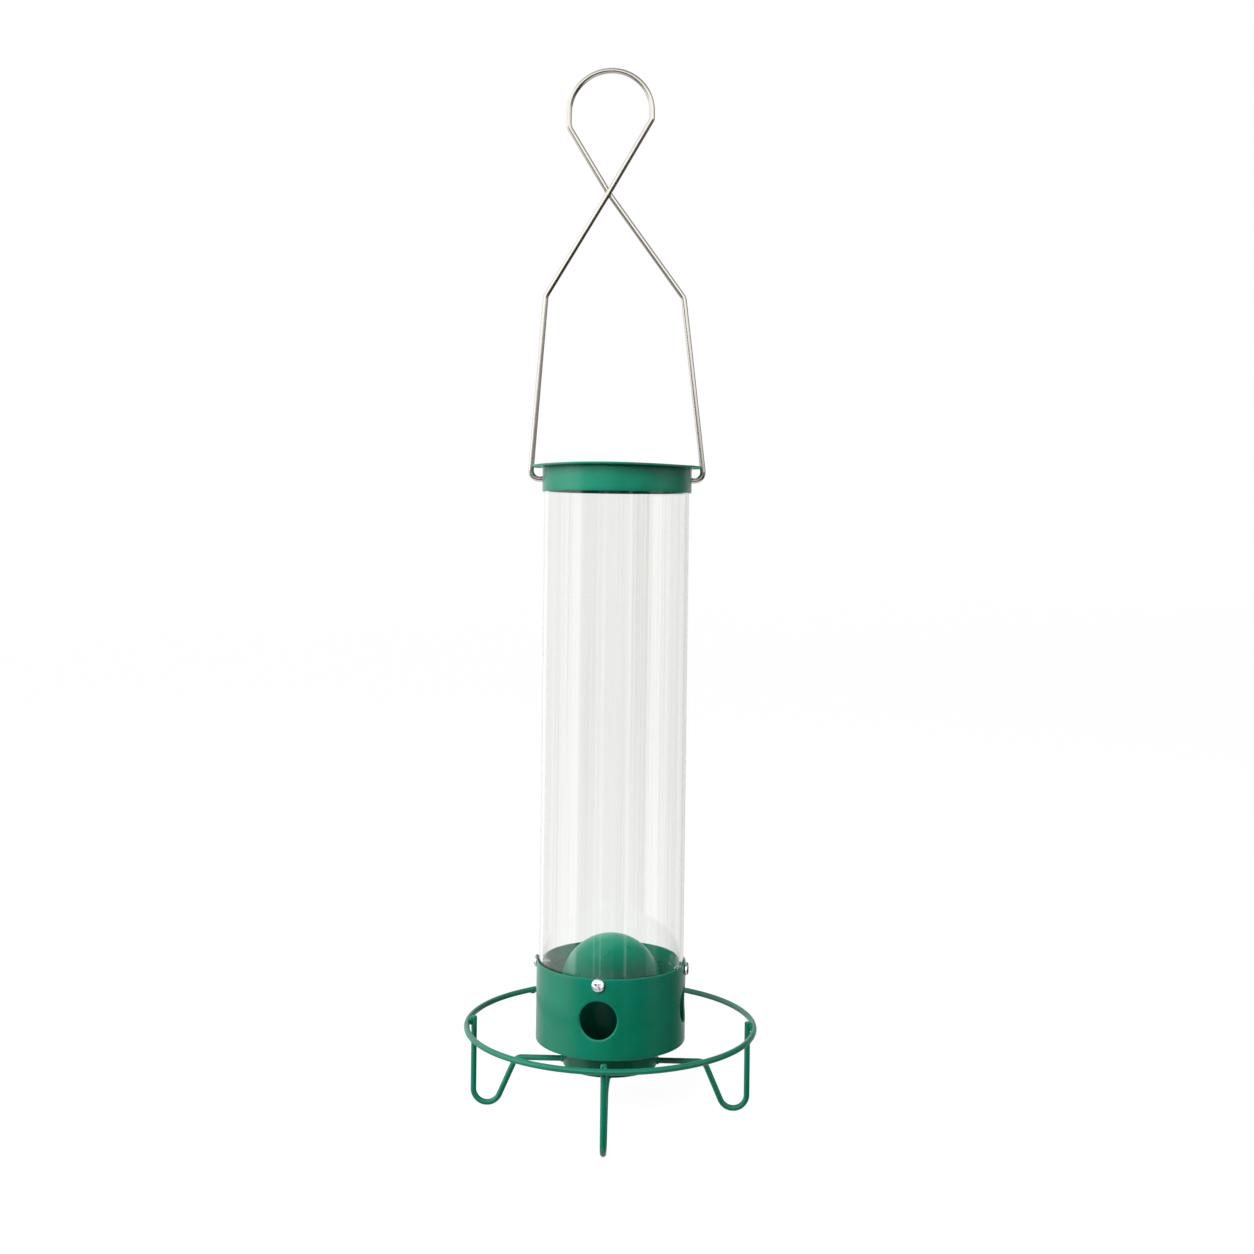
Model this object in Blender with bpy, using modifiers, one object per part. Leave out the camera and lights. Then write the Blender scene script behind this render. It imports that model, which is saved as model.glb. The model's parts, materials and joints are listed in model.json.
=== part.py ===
"""Hanging tube feeder for wild birds, with a metal foot and a perch that spins.

A clear tube holds the seed. A wire bail hooks into its top through a notched lid, and a metal
housing with four feeding ports closes its foot. A domed baffle inside the housing sends the seed
out to the ports. The perch, a wire ring on four bent legs, turns on one bolt under the housing.

Metres, +Z up. The origin is on the tube's axis in the plane of the perch's feet. The bail stands
in the XZ plane. Heights are stacked from the feet up, so each piece sits on the one below it.
"""
import math

import bmesh
import bpy
from mathutils import Matrix, Quaternion, Vector

# Fits that every piece shares
GAP = 0.0003                # air between two pieces that touch
OVERRUN = 0.0020            # how far a cutter runs past what it cuts
SHEET = 0.0008              # steel sheet of the bands, the floor, the baffle and the hub
PRESS_RADIUS = 0.0018       # outside radius where sheet is pressed round a corner
LARGE_SIDES = 64            # sides of a piece as wide as the tube
MEDIUM_SIDES = 40           # sides of the baffle and the hub
SMALL_SIDES = 20            # sides of bores, ports and turned fittings
ARC_STEP = math.radians(15) # angle between two points of a bent wire
BAIL_ENDS = (0.0, math.pi)  # the two sides where the bail enters the tube

# Perch: ring, legs and hub
PERCH_WIRE = 0.0030
RING_DIAMETER = 0.1432      # of the wire's centre line
RING_HEIGHT = 0.0420        # of the wire's centre line above the feet
ROD_STAND = 0.0025          # how far a leg's outer end stands above the ring's centre line
ARM_HEIGHT = 0.02425        # of the arm's centre line above the feet
ARM_BEND = 0.0045
LEG_LEAN = math.radians(23.6)
FOOT_BEND = 0.0068
FOOT_FLAT = 0.0002          # what wear takes off the bottom of each foot
LEGS = 4
PERCH_TURN = math.radians(-2)
HUB_DIAMETER = 0.0470
HUB_HEIGHT = 0.0117

# Bearing of the perch
BOLT_DIAMETER = 0.0060
BOLT_HEAD_FLATS = 0.0100
BOLT_HEAD_HEIGHT = 0.0040
NUT_FLATS = 0.0100
NUT_HEIGHT = 0.0050
WASHER_DIAMETER = 0.0124
WASHER_THICKNESS = 0.0012
BUSH_WALL = 0.0017
BUSH_FLANGE_DIAMETER = 0.0170
BUSH_FLANGE_THICKNESS = 0.0015
THRUST_DIAMETER = 0.0240
THRUST_THICKNESS = 0.0010

# Seed tube
TUBE_DIAMETER = 0.0724
TUBE_WALL = 0.0018
TUBE_LENGTH = 0.2527

# Housing round the foot of the tube
HOUSING_HEIGHT = 0.0390
TUBE_LAP = 0.0070           # how far the tube reaches into the housing
FLOOR_INSET = 0.0005        # how far the floor lies above the housing's lower edge
FLOOR_LIP = 0.0065
DRAINS = 6
DRAIN_DIAMETER = 0.0032
PORTS = 4
PORT_DIAMETER = 0.0184
PORT_RISE = 0.0190          # of a port's centre above the housing's lower edge
PORT_TURN = math.radians(-9)
BAFFLE_DIAMETER = 0.0502
BAFFLE_WALL_HEIGHT = 0.0250 # straight wall under the dome

# Screws that hold the housing to the tube
SCREW_DROP = 0.0028         # of a screw's axis below the housing's upper edge
SCREW_DIAMETER = 0.0032
SCREW_LENGTH = 0.0065
SCREW_POINT = 0.0020
SCREW_HEAD_DIAMETER = 0.0064
SCREW_HEAD_HEIGHT = 0.0018
SCREW_HEAD_EDGE = 0.0006    # straight side of the head under its dome
SCREW_DOME_SHARES = (0, 0.35, 0.65, 0.87, 1)  # of the head's radius, where the dome has a point

# Lid
LID_DIAMETER = 0.0860
LID_SHEET = 0.0010
LID_BAND_HEIGHT = 0.0120
NOTCH_WIDTH = 0.0180
NOTCH_LAND = 0.0006         # sheet left between a notch and the band
NOTCH_CORNER = 0.0020

# Bail: one bent wire, with heights taken from its axis in the tube's wall
BAIL_WIRE = 0.0028
BAIL_DROP = 0.0058          # of that axis below the tube's upper edge
BAIL_REACH = 0.0032         # how far each end stands inside the tube
BAIL_SPAN = 0.0868          # between the centre lines of the legs at the axis
BAIL_BEND = 0.0042
SHOULDER_SPAN = 0.0690
SHOULDER_RISE = 0.0914
SHOULDER_SHIFT = -0.0023
SHOULDER_BEND = 0.0060
CROSSING_RISE = 0.1432
CROSSING_SHIFT = -0.0058
CROSSING_BEND = 0.0600
LOOP_DIAMETER = 0.0416
LOOP_RISE = 0.1836          # of the loop's centre
LOOP_SHIFT = -0.0056
KINK_DROP = 0.0040          # sharp bend on the right, below the loop's centre
KINK_BEND = 0.0020
CORNER_DROP = 0.0068        # soft bend on the left, below the loop's centre
CORNER_BEND = 0.0060

# Radii and heights that follow from the sizes above
TUBE_RADIUS = TUBE_DIAMETER / 2
BAND_BORE_RADIUS = TUBE_RADIUS + GAP
BAND_RADIUS = BAND_BORE_RADIUS + SHEET
HUB_RADIUS = HUB_DIAMETER / 2
RING_RADIUS = RING_DIAMETER / 2
BAFFLE_RADIUS = BAFFLE_DIAMETER / 2
BOLT_HOLE_RADIUS = BOLT_DIAMETER / 2 + GAP
BUSH_RADIUS = BOLT_HOLE_RADIUS + BUSH_WALL
BUSH_SEAT_RADIUS = BUSH_RADIUS + GAP
SCREW_HOLE_RADIUS = SCREW_DIAMETER / 2 + GAP
BAIL_HOLE_RADIUS = BAIL_WIRE / 2 + GAP

HUB_BASE = ARM_HEIGHT - PERCH_WIRE / 2
HUB_TOP = HUB_BASE + HUB_HEIGHT
THRUST_BASE = HUB_TOP + GAP
FLOOR_BASE = THRUST_BASE + THRUST_THICKNESS + GAP
FLOOR_TOP = FLOOR_BASE + SHEET
BUSH_BASE = HUB_TOP - SHEET - GAP - BUSH_FLANGE_THICKNESS
WASHER_BASE = BUSH_BASE - GAP - WASHER_THICKNESS
BOLT_SEAT = WASHER_BASE - GAP
HOUSING_BASE = FLOOR_BASE - FLOOR_INSET
HOUSING_TOP = HOUSING_BASE + HOUSING_HEIGHT
PORT_HEIGHT = HOUSING_BASE + PORT_RISE
SCREW_HEIGHT = HOUSING_TOP - SCREW_DROP
BAFFLE_BASE = FLOOR_TOP + GAP
TUBE_BASE = HOUSING_TOP - TUBE_LAP
TUBE_TOP = TUBE_BASE + TUBE_LENGTH
LID_BASE = TUBE_TOP + GAP
LID_BAND_BASE = LID_BASE - GAP - LID_BAND_HEIGHT
BAIL_AXIS = TUBE_TOP - BAIL_DROP

# Colour, roughness and metallic value of each finish
FINISHES = {
    "green_powder_coat": ((0.002, 0.180, 0.105), 0.42, 0.0),
    "clear_plastic": ((0.860, 0.880, 0.880), 0.08, 0.0),
    "stainless_wire": ((0.560, 0.545, 0.520), 0.28, 1.0),
    "chromed_steel": ((0.780, 0.785, 0.790), 0.12, 1.0),
    "zinc_plated_steel": ((0.610, 0.620, 0.630), 0.35, 1.0),
    "white_nylon": ((0.790, 0.790, 0.750), 0.50, 0.0),
}


def start_collections():
    """Clear the scene and make one collection for the parts and one for the cutters."""
    for old in list(bpy.data.objects):
        bpy.data.objects.remove(old, do_unlink=True)
    made = []
    for name in ("bird_feeder", "cutters"):
        collection = bpy.data.collections.new(name)
        bpy.context.scene.collection.children.link(collection)
        made.append(collection)
    return made


PARTS, CUTTERS = start_collections()


def finish(name):
    """The material of one finish, made the first time it is asked for."""
    found = bpy.data.materials.get(name)
    if found:
        return found
    colour, roughness, metallic = FINISHES[name]
    made = bpy.data.materials.new(name)
    made.use_nodes = True
    surface = made.node_tree.nodes["Principled BSDF"]
    surface.inputs["Base Color"].default_value = (*colour, 1.0)
    surface.inputs["Roughness"].default_value = roughness
    surface.inputs["Metallic"].default_value = metallic
    return made


def add_part(name, data, finish_name, location=(0, 0, 0), rotation=(0, 0, 0)):
    """Put a mesh or curve into the parts, at its place and in its finish."""
    part = bpy.data.objects.new(name, data)
    part.location = location
    part.rotation_euler = rotation
    data.materials.append(finish(finish_name))
    PARTS.objects.link(part)
    return part


def add_cutter(name, data, location=(0, 0, 0), rotation=(0, 0, 0)):
    """Put a mesh into the cutters, drawn as wires and left out of renders."""
    cutter = bpy.data.objects.new(name, data)
    cutter.location = location
    cutter.rotation_euler = rotation
    cutter.hide_render = True
    cutter.display_type = 'WIRE'
    CUTTERS.objects.link(cutter)
    return cutter


def mesh_from(name, shape):
    """A mesh made from a bmesh, which is freed."""
    mesh = bpy.data.meshes.new(name)
    shape.to_mesh(mesh)
    shape.free()
    return mesh


def prism(name, radius, length, sides):
    """Closed cylinder, or prism where the sides are few, from its base at zero up."""
    shape = bmesh.new()
    bmesh.ops.create_cone(shape, cap_ends=True, segments=sides, radius1=radius, radius2=radius,
                          depth=length)
    bmesh.ops.translate(shape, verts=shape.verts, vec=(0, 0, length / 2))
    return mesh_from(name, shape)


def block(name, size, centre, corner=0):
    """Box of three sizes about its centre, with its upright edges rounded."""
    shape = bmesh.new()
    bmesh.ops.create_cube(shape, size=1)
    bmesh.ops.scale(shape, verts=shape.verts, vec=size)
    bmesh.ops.translate(shape, verts=shape.verts, vec=centre)
    if corner:
        upright = [edge for edge in shape.edges
                   if edge.verts[0].co.xy == edge.verts[1].co.xy]
        bmesh.ops.bevel(shape, geom=upright, offset=corner, segments=3, profile=0.5,
                        affect='EDGES')
    return mesh_from(name, shape)


def profile_mesh(name, profile, closed):
    """Outline of a turned piece as an edge chain: radius along X, height along Z."""
    shape = bmesh.new()
    chain = [shape.verts.new((radius, 0, height)) for radius, height in profile]
    for first, second in zip(chain, chain[1:]):
        shape.edges.new((first, second))
    if closed:
        shape.edges.new((chain[-1], chain[0]))
    return mesh_from(name, shape)


def turned(name, profile, finish_name, sides, closed=True, location=(0, 0, 0),
           rotation=(0, 0, 0)):
    """Piece turned about its own Z axis from a profile that runs down its outer side."""
    part = add_part(name, profile_mesh(name, profile, closed), finish_name, location, rotation)
    screw = part.modifiers.new("turn", 'SCREW')
    screw.axis = 'Z'
    screw.steps = sides
    screw.render_steps = sides
    screw.use_merge_vertices = True
    screw.merge_threshold = GAP / 100
    return part


def ring_profile(outer, inner, height):
    """Profile of a plain ring or tube, from its base at zero up."""
    return [(outer, height), (outer, 0), (inner, 0), (inner, height)]


def arc(centre, radius, start, end, steps):
    """Points on an arc in the plane of radius and height, both ends included."""
    points = []
    for step in range(steps + 1):
        angle = start + (end - start) * step / steps
        points.append((centre[0] + radius * math.cos(angle), centre[1] + radius * math.sin(angle)))
    return points


def combine(part, cutter, operation):
    """Boolean of one object with another, kept as a modifier."""
    boolean = part.modifiers.new(cutter.name, 'BOOLEAN')
    boolean.operation = operation
    boolean.solver = 'EXACT'
    boolean.object = cutter


def drill(part, name, radius, inner, outer, azimuth, height):
    """Round hole through a wall, along the radius at one azimuth, from inner to outer radius."""
    length = outer - inner + OVERRUN * 2
    start = inner - OVERRUN
    drilled = add_cutter(name, prism(name, radius, length, SMALL_SIDES),
                         (start * math.cos(azimuth), start * math.sin(azimuth), height),
                         (0, math.pi / 2, azimuth))
    combine(part, drilled, 'DIFFERENCE')


def settle(part):
    """Apply the modifiers and shade the piece smooth between its sharp edges."""
    bpy.context.view_layer.update()
    evaluated = part.evaluated_get(bpy.context.evaluated_depsgraph_get())
    mesh = bpy.data.meshes.new_from_object(evaluated)
    mesh.shade_smooth()
    mesh.set_sharp_from_angle(angle=math.radians(35))
    part.modifiers.clear()
    part.data = mesh
    mesh.name = part.name
    return part


def wire(name, points, diameter, finish_name, location=(0, 0, 0)):
    """Bent wire of round section along a line of points, with closed ends."""
    curve = bpy.data.curves.new(name, 'CURVE')
    curve.dimensions = '3D'
    curve.bevel_depth = diameter / 2
    curve.bevel_resolution = 2
    curve.use_fill_caps = True
    spline = curve.splines.new('POLY')
    spline.points.add(len(points) - 1)
    for place, point in zip(spline.points, points):
        place.co = (*point, 1)
    spline.use_smooth = True
    return add_part(name, curve, finish_name, location)


def wire_to_mesh(piece):
    """The same wire as a closed mesh object that can be cut."""
    bpy.context.view_layer.update()
    evaluated = piece.evaluated_get(bpy.context.evaluated_depsgraph_get())
    mesh = bpy.data.meshes.new_from_object(evaluated)
    welded = bmesh.new()
    welded.from_mesh(mesh)
    bmesh.ops.remove_doubles(welded, verts=welded.verts, dist=GAP / 100)
    welded.to_mesh(mesh)
    welded.free()
    name = piece.name
    place = piece.matrix_world.copy()
    bpy.data.objects.remove(piece, do_unlink=True)
    made = bpy.data.objects.new(name, mesh)
    made.matrix_world = place
    PARTS.objects.link(made)
    return made


def rounded(corners):
    """Line of points through corners, each given as a point and the radius it is bent to."""
    points = [corners[0][0]]
    for before, (corner, radius), after in zip(corners, corners[1:], corners[2:]):
        back = before[0] - corner
        ahead = after[0] - corner
        opening = back.angle(ahead)
        reach = radius / math.tan(opening / 2)
        reach = min(reach, back.length / 2, ahead.length / 2)
        bend = reach * math.tan(opening / 2)
        middle = (back.normalized() + ahead.normalized()).normalized()
        centre = corner + middle * (bend / math.sin(opening / 2))
        spoke = corner + back.normalized() * reach - centre
        axis = back.cross(ahead).normalized()
        sweep = math.pi - opening
        steps = max(2, math.ceil(sweep / ARC_STEP))
        for step in range(steps + 1):
            turn = Quaternion(axis, -sweep * step / steps)
            points.append(centre + turn @ spoke)
    points.append(corners[-1][0])
    return points


def azimuths(count, turn=0):
    """Evenly spaced directions about the axis."""
    return [turn + math.tau * number / count for number in range(count)]


def parent_on_axis(name, height, children):
    """Empty on a joint's axis that carries the pieces of one moving body."""
    pivot = bpy.data.objects.new(name, None)
    pivot.location = (0, 0, height)
    PARTS.objects.link(pivot)
    for child in children:
        child.parent = pivot
        child.matrix_parent_inverse = Matrix.Translation((0, 0, -height))


def make_tube():
    """Clear tube, with four screw holes at its foot and two holes for the bail."""
    tube = turned("tube", ring_profile(TUBE_RADIUS, TUBE_RADIUS - TUBE_WALL, TUBE_LENGTH),
                  "clear_plastic", LARGE_SIDES, location=(0, 0, TUBE_BASE))
    inner = TUBE_RADIUS - TUBE_WALL
    for number, azimuth in enumerate(azimuths(PORTS, PORT_TURN), 1):
        drill(tube, f"tube_screw_hole_{number}", SCREW_HOLE_RADIUS, inner, TUBE_RADIUS, azimuth,
              SCREW_HEIGHT)
    for number, azimuth in enumerate(BAIL_ENDS, 1):
        drill(tube, f"tube_bail_hole_{number}", BAIL_HOLE_RADIUS, inner, TUBE_RADIUS, azimuth,
              BAIL_AXIS)
    return settle(tube)


def make_housing_band():
    """Metal band round the foot of the tube, with the feeding ports and a screw over each."""
    band = turned("housing_band", ring_profile(BAND_RADIUS, BAND_BORE_RADIUS, HOUSING_HEIGHT),
                  "green_powder_coat", LARGE_SIDES, location=(0, 0, HOUSING_BASE))
    for number, azimuth in enumerate(azimuths(PORTS, PORT_TURN), 1):
        drill(band, f"port_{number}", PORT_DIAMETER / 2, BAND_BORE_RADIUS, BAND_RADIUS, azimuth,
              PORT_HEIGHT)
        drill(band, f"band_screw_hole_{number}", SCREW_HOLE_RADIUS, BAND_BORE_RADIUS, BAND_RADIUS,
              azimuth, SCREW_HEIGHT)
    return settle(band)


def make_housing_floor():
    """Pressed pan that closes the housing, with a bolt hole and a circle of drain holes."""
    outer = BAND_BORE_RADIUS - GAP
    inner = outer - SHEET
    corner = (outer - PRESS_RADIUS, PRESS_RADIUS)
    profile = [(outer, FLOOR_LIP)]
    profile += arc(corner, PRESS_RADIUS, 0, -math.pi / 2, 3)
    profile += [(BOLT_HOLE_RADIUS, 0), (BOLT_HOLE_RADIUS, SHEET)]
    profile += arc(corner, PRESS_RADIUS - SHEET, -math.pi / 2, 0, 3)
    profile += [(inner, FLOOR_LIP)]
    pan = turned("housing_floor", profile, "green_powder_coat", LARGE_SIDES,
                 location=(0, 0, FLOOR_BASE))
    drain_circle = (BAFFLE_RADIUS + inner) / 2
    for number, azimuth in enumerate(azimuths(DRAINS), 1):
        name = f"drain_{number}"
        drain = add_cutter(name, prism(name, DRAIN_DIAMETER / 2, SHEET + OVERRUN * 2, SMALL_SIDES),
                           (drain_circle * math.cos(azimuth), drain_circle * math.sin(azimuth),
                            FLOOR_BASE - OVERRUN))
        combine(pan, drain, 'DIFFERENCE')
    return settle(pan)


def make_seed_baffle():
    """Domed cup, open below, that the bolt pulls down onto the floor."""
    inner = BAFFLE_RADIUS - SHEET
    centre = (0, BAFFLE_WALL_HEIGHT)
    profile = arc(centre, BAFFLE_RADIUS, math.pi / 2, 0, 9)
    profile += [(BAFFLE_RADIUS, 0), (inner, 0)]
    profile += arc(centre, inner, 0, math.pi / 2, 9)
    return settle(turned("seed_baffle", profile, "green_powder_coat", MEDIUM_SIDES, closed=False,
                         location=(0, 0, BAFFLE_BASE)))


def nut_top():
    """Height where the corners of the nut meet the inside of the dome, less the gap."""
    corner = NUT_FLATS / 2 / math.cos(math.pi / 6)
    inner = BAFFLE_RADIUS - SHEET
    return BAFFLE_BASE + BAFFLE_WALL_HEIGHT + math.sqrt(inner ** 2 - corner ** 2) - GAP


def make_baffle_nut():
    """Hex nut welded inside the top of the dome."""
    corner = NUT_FLATS / 2 / math.cos(math.pi / 6)
    base = nut_top() - NUT_HEIGHT
    nut = add_part("baffle_nut", prism("baffle_nut", corner, NUT_HEIGHT, 6), "zinc_plated_steel",
                   (0, 0, base))
    bore = add_cutter("nut_bore", prism("nut_bore", BOLT_HOLE_RADIUS, NUT_HEIGHT + OVERRUN * 2,
                                        SMALL_SIDES), (0, 0, base - OVERRUN))
    combine(nut, bore, 'DIFFERENCE')
    return settle(nut)


def make_pivot_bolt():
    """Hex bolt from under the hub up into the nut, whose shank the perch turns on."""
    corner = BOLT_HEAD_FLATS / 2 / math.cos(math.pi / 6)
    bolt = add_part("pivot_bolt", prism("pivot_bolt", corner, BOLT_HEAD_HEIGHT, 6),
                    "zinc_plated_steel", (0, 0, BOLT_SEAT - BOLT_HEAD_HEIGHT))
    middle = BOLT_HEAD_HEIGHT / 2
    shank = add_cutter("bolt_shank", prism("bolt_shank", BOLT_DIAMETER / 2,
                                           nut_top() - BOLT_SEAT + middle, SMALL_SIDES),
                       (0, 0, BOLT_SEAT - middle))
    combine(bolt, shank, 'UNION')
    return settle(bolt)


def make_bearing():
    """Washer, bush and thrust washer between the bolt's head and the floor."""
    washer = turned("head_washer", ring_profile(WASHER_DIAMETER / 2, BOLT_HOLE_RADIUS,
                                                WASHER_THICKNESS),
                    "zinc_plated_steel", SMALL_SIDES, location=(0, 0, WASHER_BASE))
    sleeve_top = FLOOR_BASE - GAP * 2 - BUSH_BASE
    flange = BUSH_FLANGE_DIAMETER / 2
    bush = turned("pivot_bush", [(BUSH_RADIUS, sleeve_top), (BUSH_RADIUS, BUSH_FLANGE_THICKNESS),
                                 (flange, BUSH_FLANGE_THICKNESS), (flange, 0),
                                 (BOLT_HOLE_RADIUS, 0), (BOLT_HOLE_RADIUS, sleeve_top)],
                  "white_nylon", SMALL_SIDES, location=(0, 0, BUSH_BASE))
    thrust = turned("thrust_washer", ring_profile(THRUST_DIAMETER / 2, BUSH_SEAT_RADIUS,
                                                  THRUST_THICKNESS),
                    "white_nylon", MEDIUM_SIDES, location=(0, 0, THRUST_BASE))
    for part in (washer, bush, thrust):
        settle(part)
    return bush


def make_perch_hub():
    """Shallow pressed cup, open below, with the bush's seat in the middle of its top."""
    inner = HUB_RADIUS - SHEET
    corner_height = HUB_HEIGHT - PRESS_RADIUS
    corner = (HUB_RADIUS - PRESS_RADIUS, corner_height)
    under = HUB_HEIGHT - SHEET
    profile = [(BUSH_SEAT_RADIUS, HUB_HEIGHT)]
    profile += arc(corner, PRESS_RADIUS, math.pi / 2, 0, 3)
    profile += [(HUB_RADIUS, 0), (inner, 0)]
    profile += arc(corner, PRESS_RADIUS - SHEET, 0, math.pi / 2, 3)
    profile += [(BUSH_SEAT_RADIUS, under)]
    return settle(turned("perch_hub", profile, "green_powder_coat", MEDIUM_SIDES,
                         location=(0, 0, HUB_BASE)))


def make_perch_ring():
    """Wire ring that the birds stand on."""
    bpy.ops.mesh.primitive_torus_add(major_radius=RING_RADIUS, minor_radius=PERCH_WIRE / 2,
                                     major_segments=LARGE_SIDES, minor_segments=10,
                                     location=(0, 0, RING_HEIGHT))
    made = bpy.context.object
    mesh = made.data
    bpy.data.objects.remove(made, do_unlink=True)
    mesh.shade_smooth()
    return add_part("perch_ring", mesh, "green_powder_coat", (0, 0, RING_HEIGHT))


def leg_line():
    """Centre line of a leg in its own plane: out from the hub, down, round the foot and up."""
    rod = RING_RADIUS - PERCH_WIRE - GAP
    foot = (rod - FOOT_BEND, FOOT_BEND + PERCH_WIRE / 2 - FOOT_FLAT)
    lowest = math.pi * 1.5
    bend = arc(foot, FOOT_BEND, math.pi + LEG_LEAN, lowest, 4)
    bend += arc(foot, FOOT_BEND, lowest, math.tau, 6)[1:]
    knee = bend[0][0] - (ARM_HEIGHT - bend[0][1]) * math.tan(LEG_LEAN)
    arm = rounded([(Vector((HUB_RADIUS + GAP, 0, ARM_HEIGHT)), 0),
                   (Vector((knee, 0, ARM_HEIGHT)), ARM_BEND),
                   (Vector((bend[0][0], 0, bend[0][1])), 0)])
    line = arm[:-1]
    line += [Vector((radius, 0, height)) for radius, height in bend]
    line.append(Vector((rod, 0, RING_HEIGHT + ROD_STAND)))
    return line


def make_legs():
    """Four bent wire legs, each with a small flat where it meets the ground."""
    depth = PERCH_WIRE
    ground = add_cutter("ground", block("ground", (RING_DIAMETER, RING_DIAMETER, depth),
                                        (RING_RADIUS, 0, -depth / 2)))
    master = wire_to_mesh(wire("leg_1", leg_line(), PERCH_WIRE, "green_powder_coat"))
    combine(master, ground, 'DIFFERENCE')
    settle(master)
    legs = [master]
    for number in range(2, LEGS + 1):
        leg = bpy.data.objects.new(f"leg_{number}", master.data)
        PARTS.objects.link(leg)
        legs.append(leg)
    for leg, azimuth in zip(legs, azimuths(LEGS, PERCH_TURN)):
        leg.rotation_euler = (0, 0, azimuth)
    return legs


def make_housing_screws():
    """Pan-head tapping screws, one above each port, pointing at the axis."""
    head = SCREW_HEAD_DIAMETER / 2
    shank = SCREW_DIAMETER / 2
    crown = SCREW_HEAD_HEIGHT - SCREW_HEAD_EDGE
    profile = []
    for share in SCREW_DOME_SHARES:
        rise = crown * math.sqrt(1 - share ** 2)
        profile.append((head * share, SCREW_HEAD_EDGE + rise))
    profile += [(head, 0), (shank, 0), (shank, SCREW_POINT - SCREW_LENGTH), (0, -SCREW_LENGTH)]
    seat = BAND_RADIUS + GAP
    for number, azimuth in enumerate(azimuths(PORTS, PORT_TURN), 1):
        settle(turned(f"housing_screw_{number}", profile, "chromed_steel", SMALL_SIDES,
                      closed=False,
                      location=(seat * math.cos(azimuth), seat * math.sin(azimuth), SCREW_HEIGHT),
                      rotation=(0, math.pi / 2, azimuth)))


def make_lid():
    """Brimmed disc over the tube's mouth and the slotted band that fits round the tube."""
    outer = LID_DIAMETER / 2
    edge = LID_SHEET / 3
    plate = turned("lid_plate", [(0, LID_SHEET), (outer - edge, LID_SHEET),
                                 (outer, LID_SHEET - edge), (outer, edge), (outer - edge, 0),
                                 (0, 0)],
                   "green_powder_coat", LARGE_SIDES, closed=False, location=(0, 0, LID_BASE))
    band = turned("lid_band", ring_profile(BAND_RADIUS, BAND_BORE_RADIUS, LID_BAND_HEIGHT),
                  "green_powder_coat", LARGE_SIDES, location=(0, 0, LID_BAND_BASE))
    notch_start = BAND_RADIUS + NOTCH_LAND
    notch_size = (LID_DIAMETER, NOTCH_WIDTH, LID_SHEET + OVERRUN * 2)
    notch_centre = (notch_start + LID_DIAMETER / 2, 0, LID_BASE + LID_SHEET / 2)
    slot_height = BAIL_AXIS - LID_BAND_BASE + OVERRUN
    slot_size = (SHEET + OVERRUN * 2, BAIL_HOLE_RADIUS * 2, slot_height)
    slot_centre = (BAND_BORE_RADIUS + SHEET / 2, 0, BAIL_AXIS - slot_height / 2)
    for number, azimuth in enumerate(BAIL_ENDS, 1):
        notch = add_cutter(f"notch_{number}", block(f"notch_{number}", notch_size, notch_centre,
                                                    NOTCH_CORNER), rotation=(0, 0, azimuth))
        combine(plate, notch, 'DIFFERENCE')
        slot = add_cutter(f"slot_{number}", block(f"slot_{number}", slot_size, slot_centre),
                          rotation=(0, 0, azimuth))
        combine(band, slot, 'DIFFERENCE')
        drill(band, f"slot_end_{number}", BAIL_HOLE_RADIUS, BAND_BORE_RADIUS, BAND_RADIUS, azimuth,
              BAIL_AXIS)
    return settle(plate), settle(band)


def bail_line():
    """Centre line of the bail, from its left end round the loop to its right end."""
    end = TUBE_RADIUS - TUBE_WALL - BAIL_REACH
    beside = (BAIL_WIRE + GAP) / 2
    loop = LOOP_DIAMETER / 2
    shoulder = SHOULDER_SPAN / 2
    upper_share = (LOOP_RISE - CROSSING_RISE) / (CROSSING_RISE - SHOULDER_RISE)
    aside = beside * (1 + upper_share)
    kink = Vector((LOOP_SHIFT + loop, -aside, LOOP_RISE - KINK_DROP))
    corner = Vector((LOOP_SHIFT - loop, aside, LOOP_RISE - CORNER_DROP))
    rise = rounded([(Vector((-end, 0, 0)), 0),
                    (Vector((-BAIL_SPAN / 2, 0, 0)), BAIL_BEND),
                    (Vector((SHOULDER_SHIFT - shoulder, 0, SHOULDER_RISE)), SHOULDER_BEND),
                    (Vector((CROSSING_SHIFT, -beside, CROSSING_RISE)), CROSSING_BEND),
                    (kink, KINK_BEND),
                    (Vector((kink.x, -aside, LOOP_RISE)), 0)])
    fall = rounded([(Vector((corner.x, aside, LOOP_RISE)), 0),
                    (corner, CORNER_BEND),
                    (Vector((CROSSING_SHIFT, beside, CROSSING_RISE)), CROSSING_BEND),
                    (Vector((SHOULDER_SHIFT + shoulder, 0, SHOULDER_RISE)), SHOULDER_BEND),
                    (Vector((BAIL_SPAN / 2, 0, 0)), BAIL_BEND),
                    (Vector((end, 0, 0)), 0)])
    steps = round(math.pi / ARC_STEP)
    over = []
    for step in range(1, steps):
        angle = math.pi * step / steps
        over.append(Vector((LOOP_SHIFT + loop * math.cos(angle), -aside * math.cos(angle),
                            LOOP_RISE + loop * math.sin(angle))))
    return rise + over + fall


def make_bail():
    """Hanging wire, which swings on its two ends in the tube's wall."""
    return wire("bail", bail_line(), BAIL_WIRE, "stainless_wire", (0, 0, BAIL_AXIS))


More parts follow.
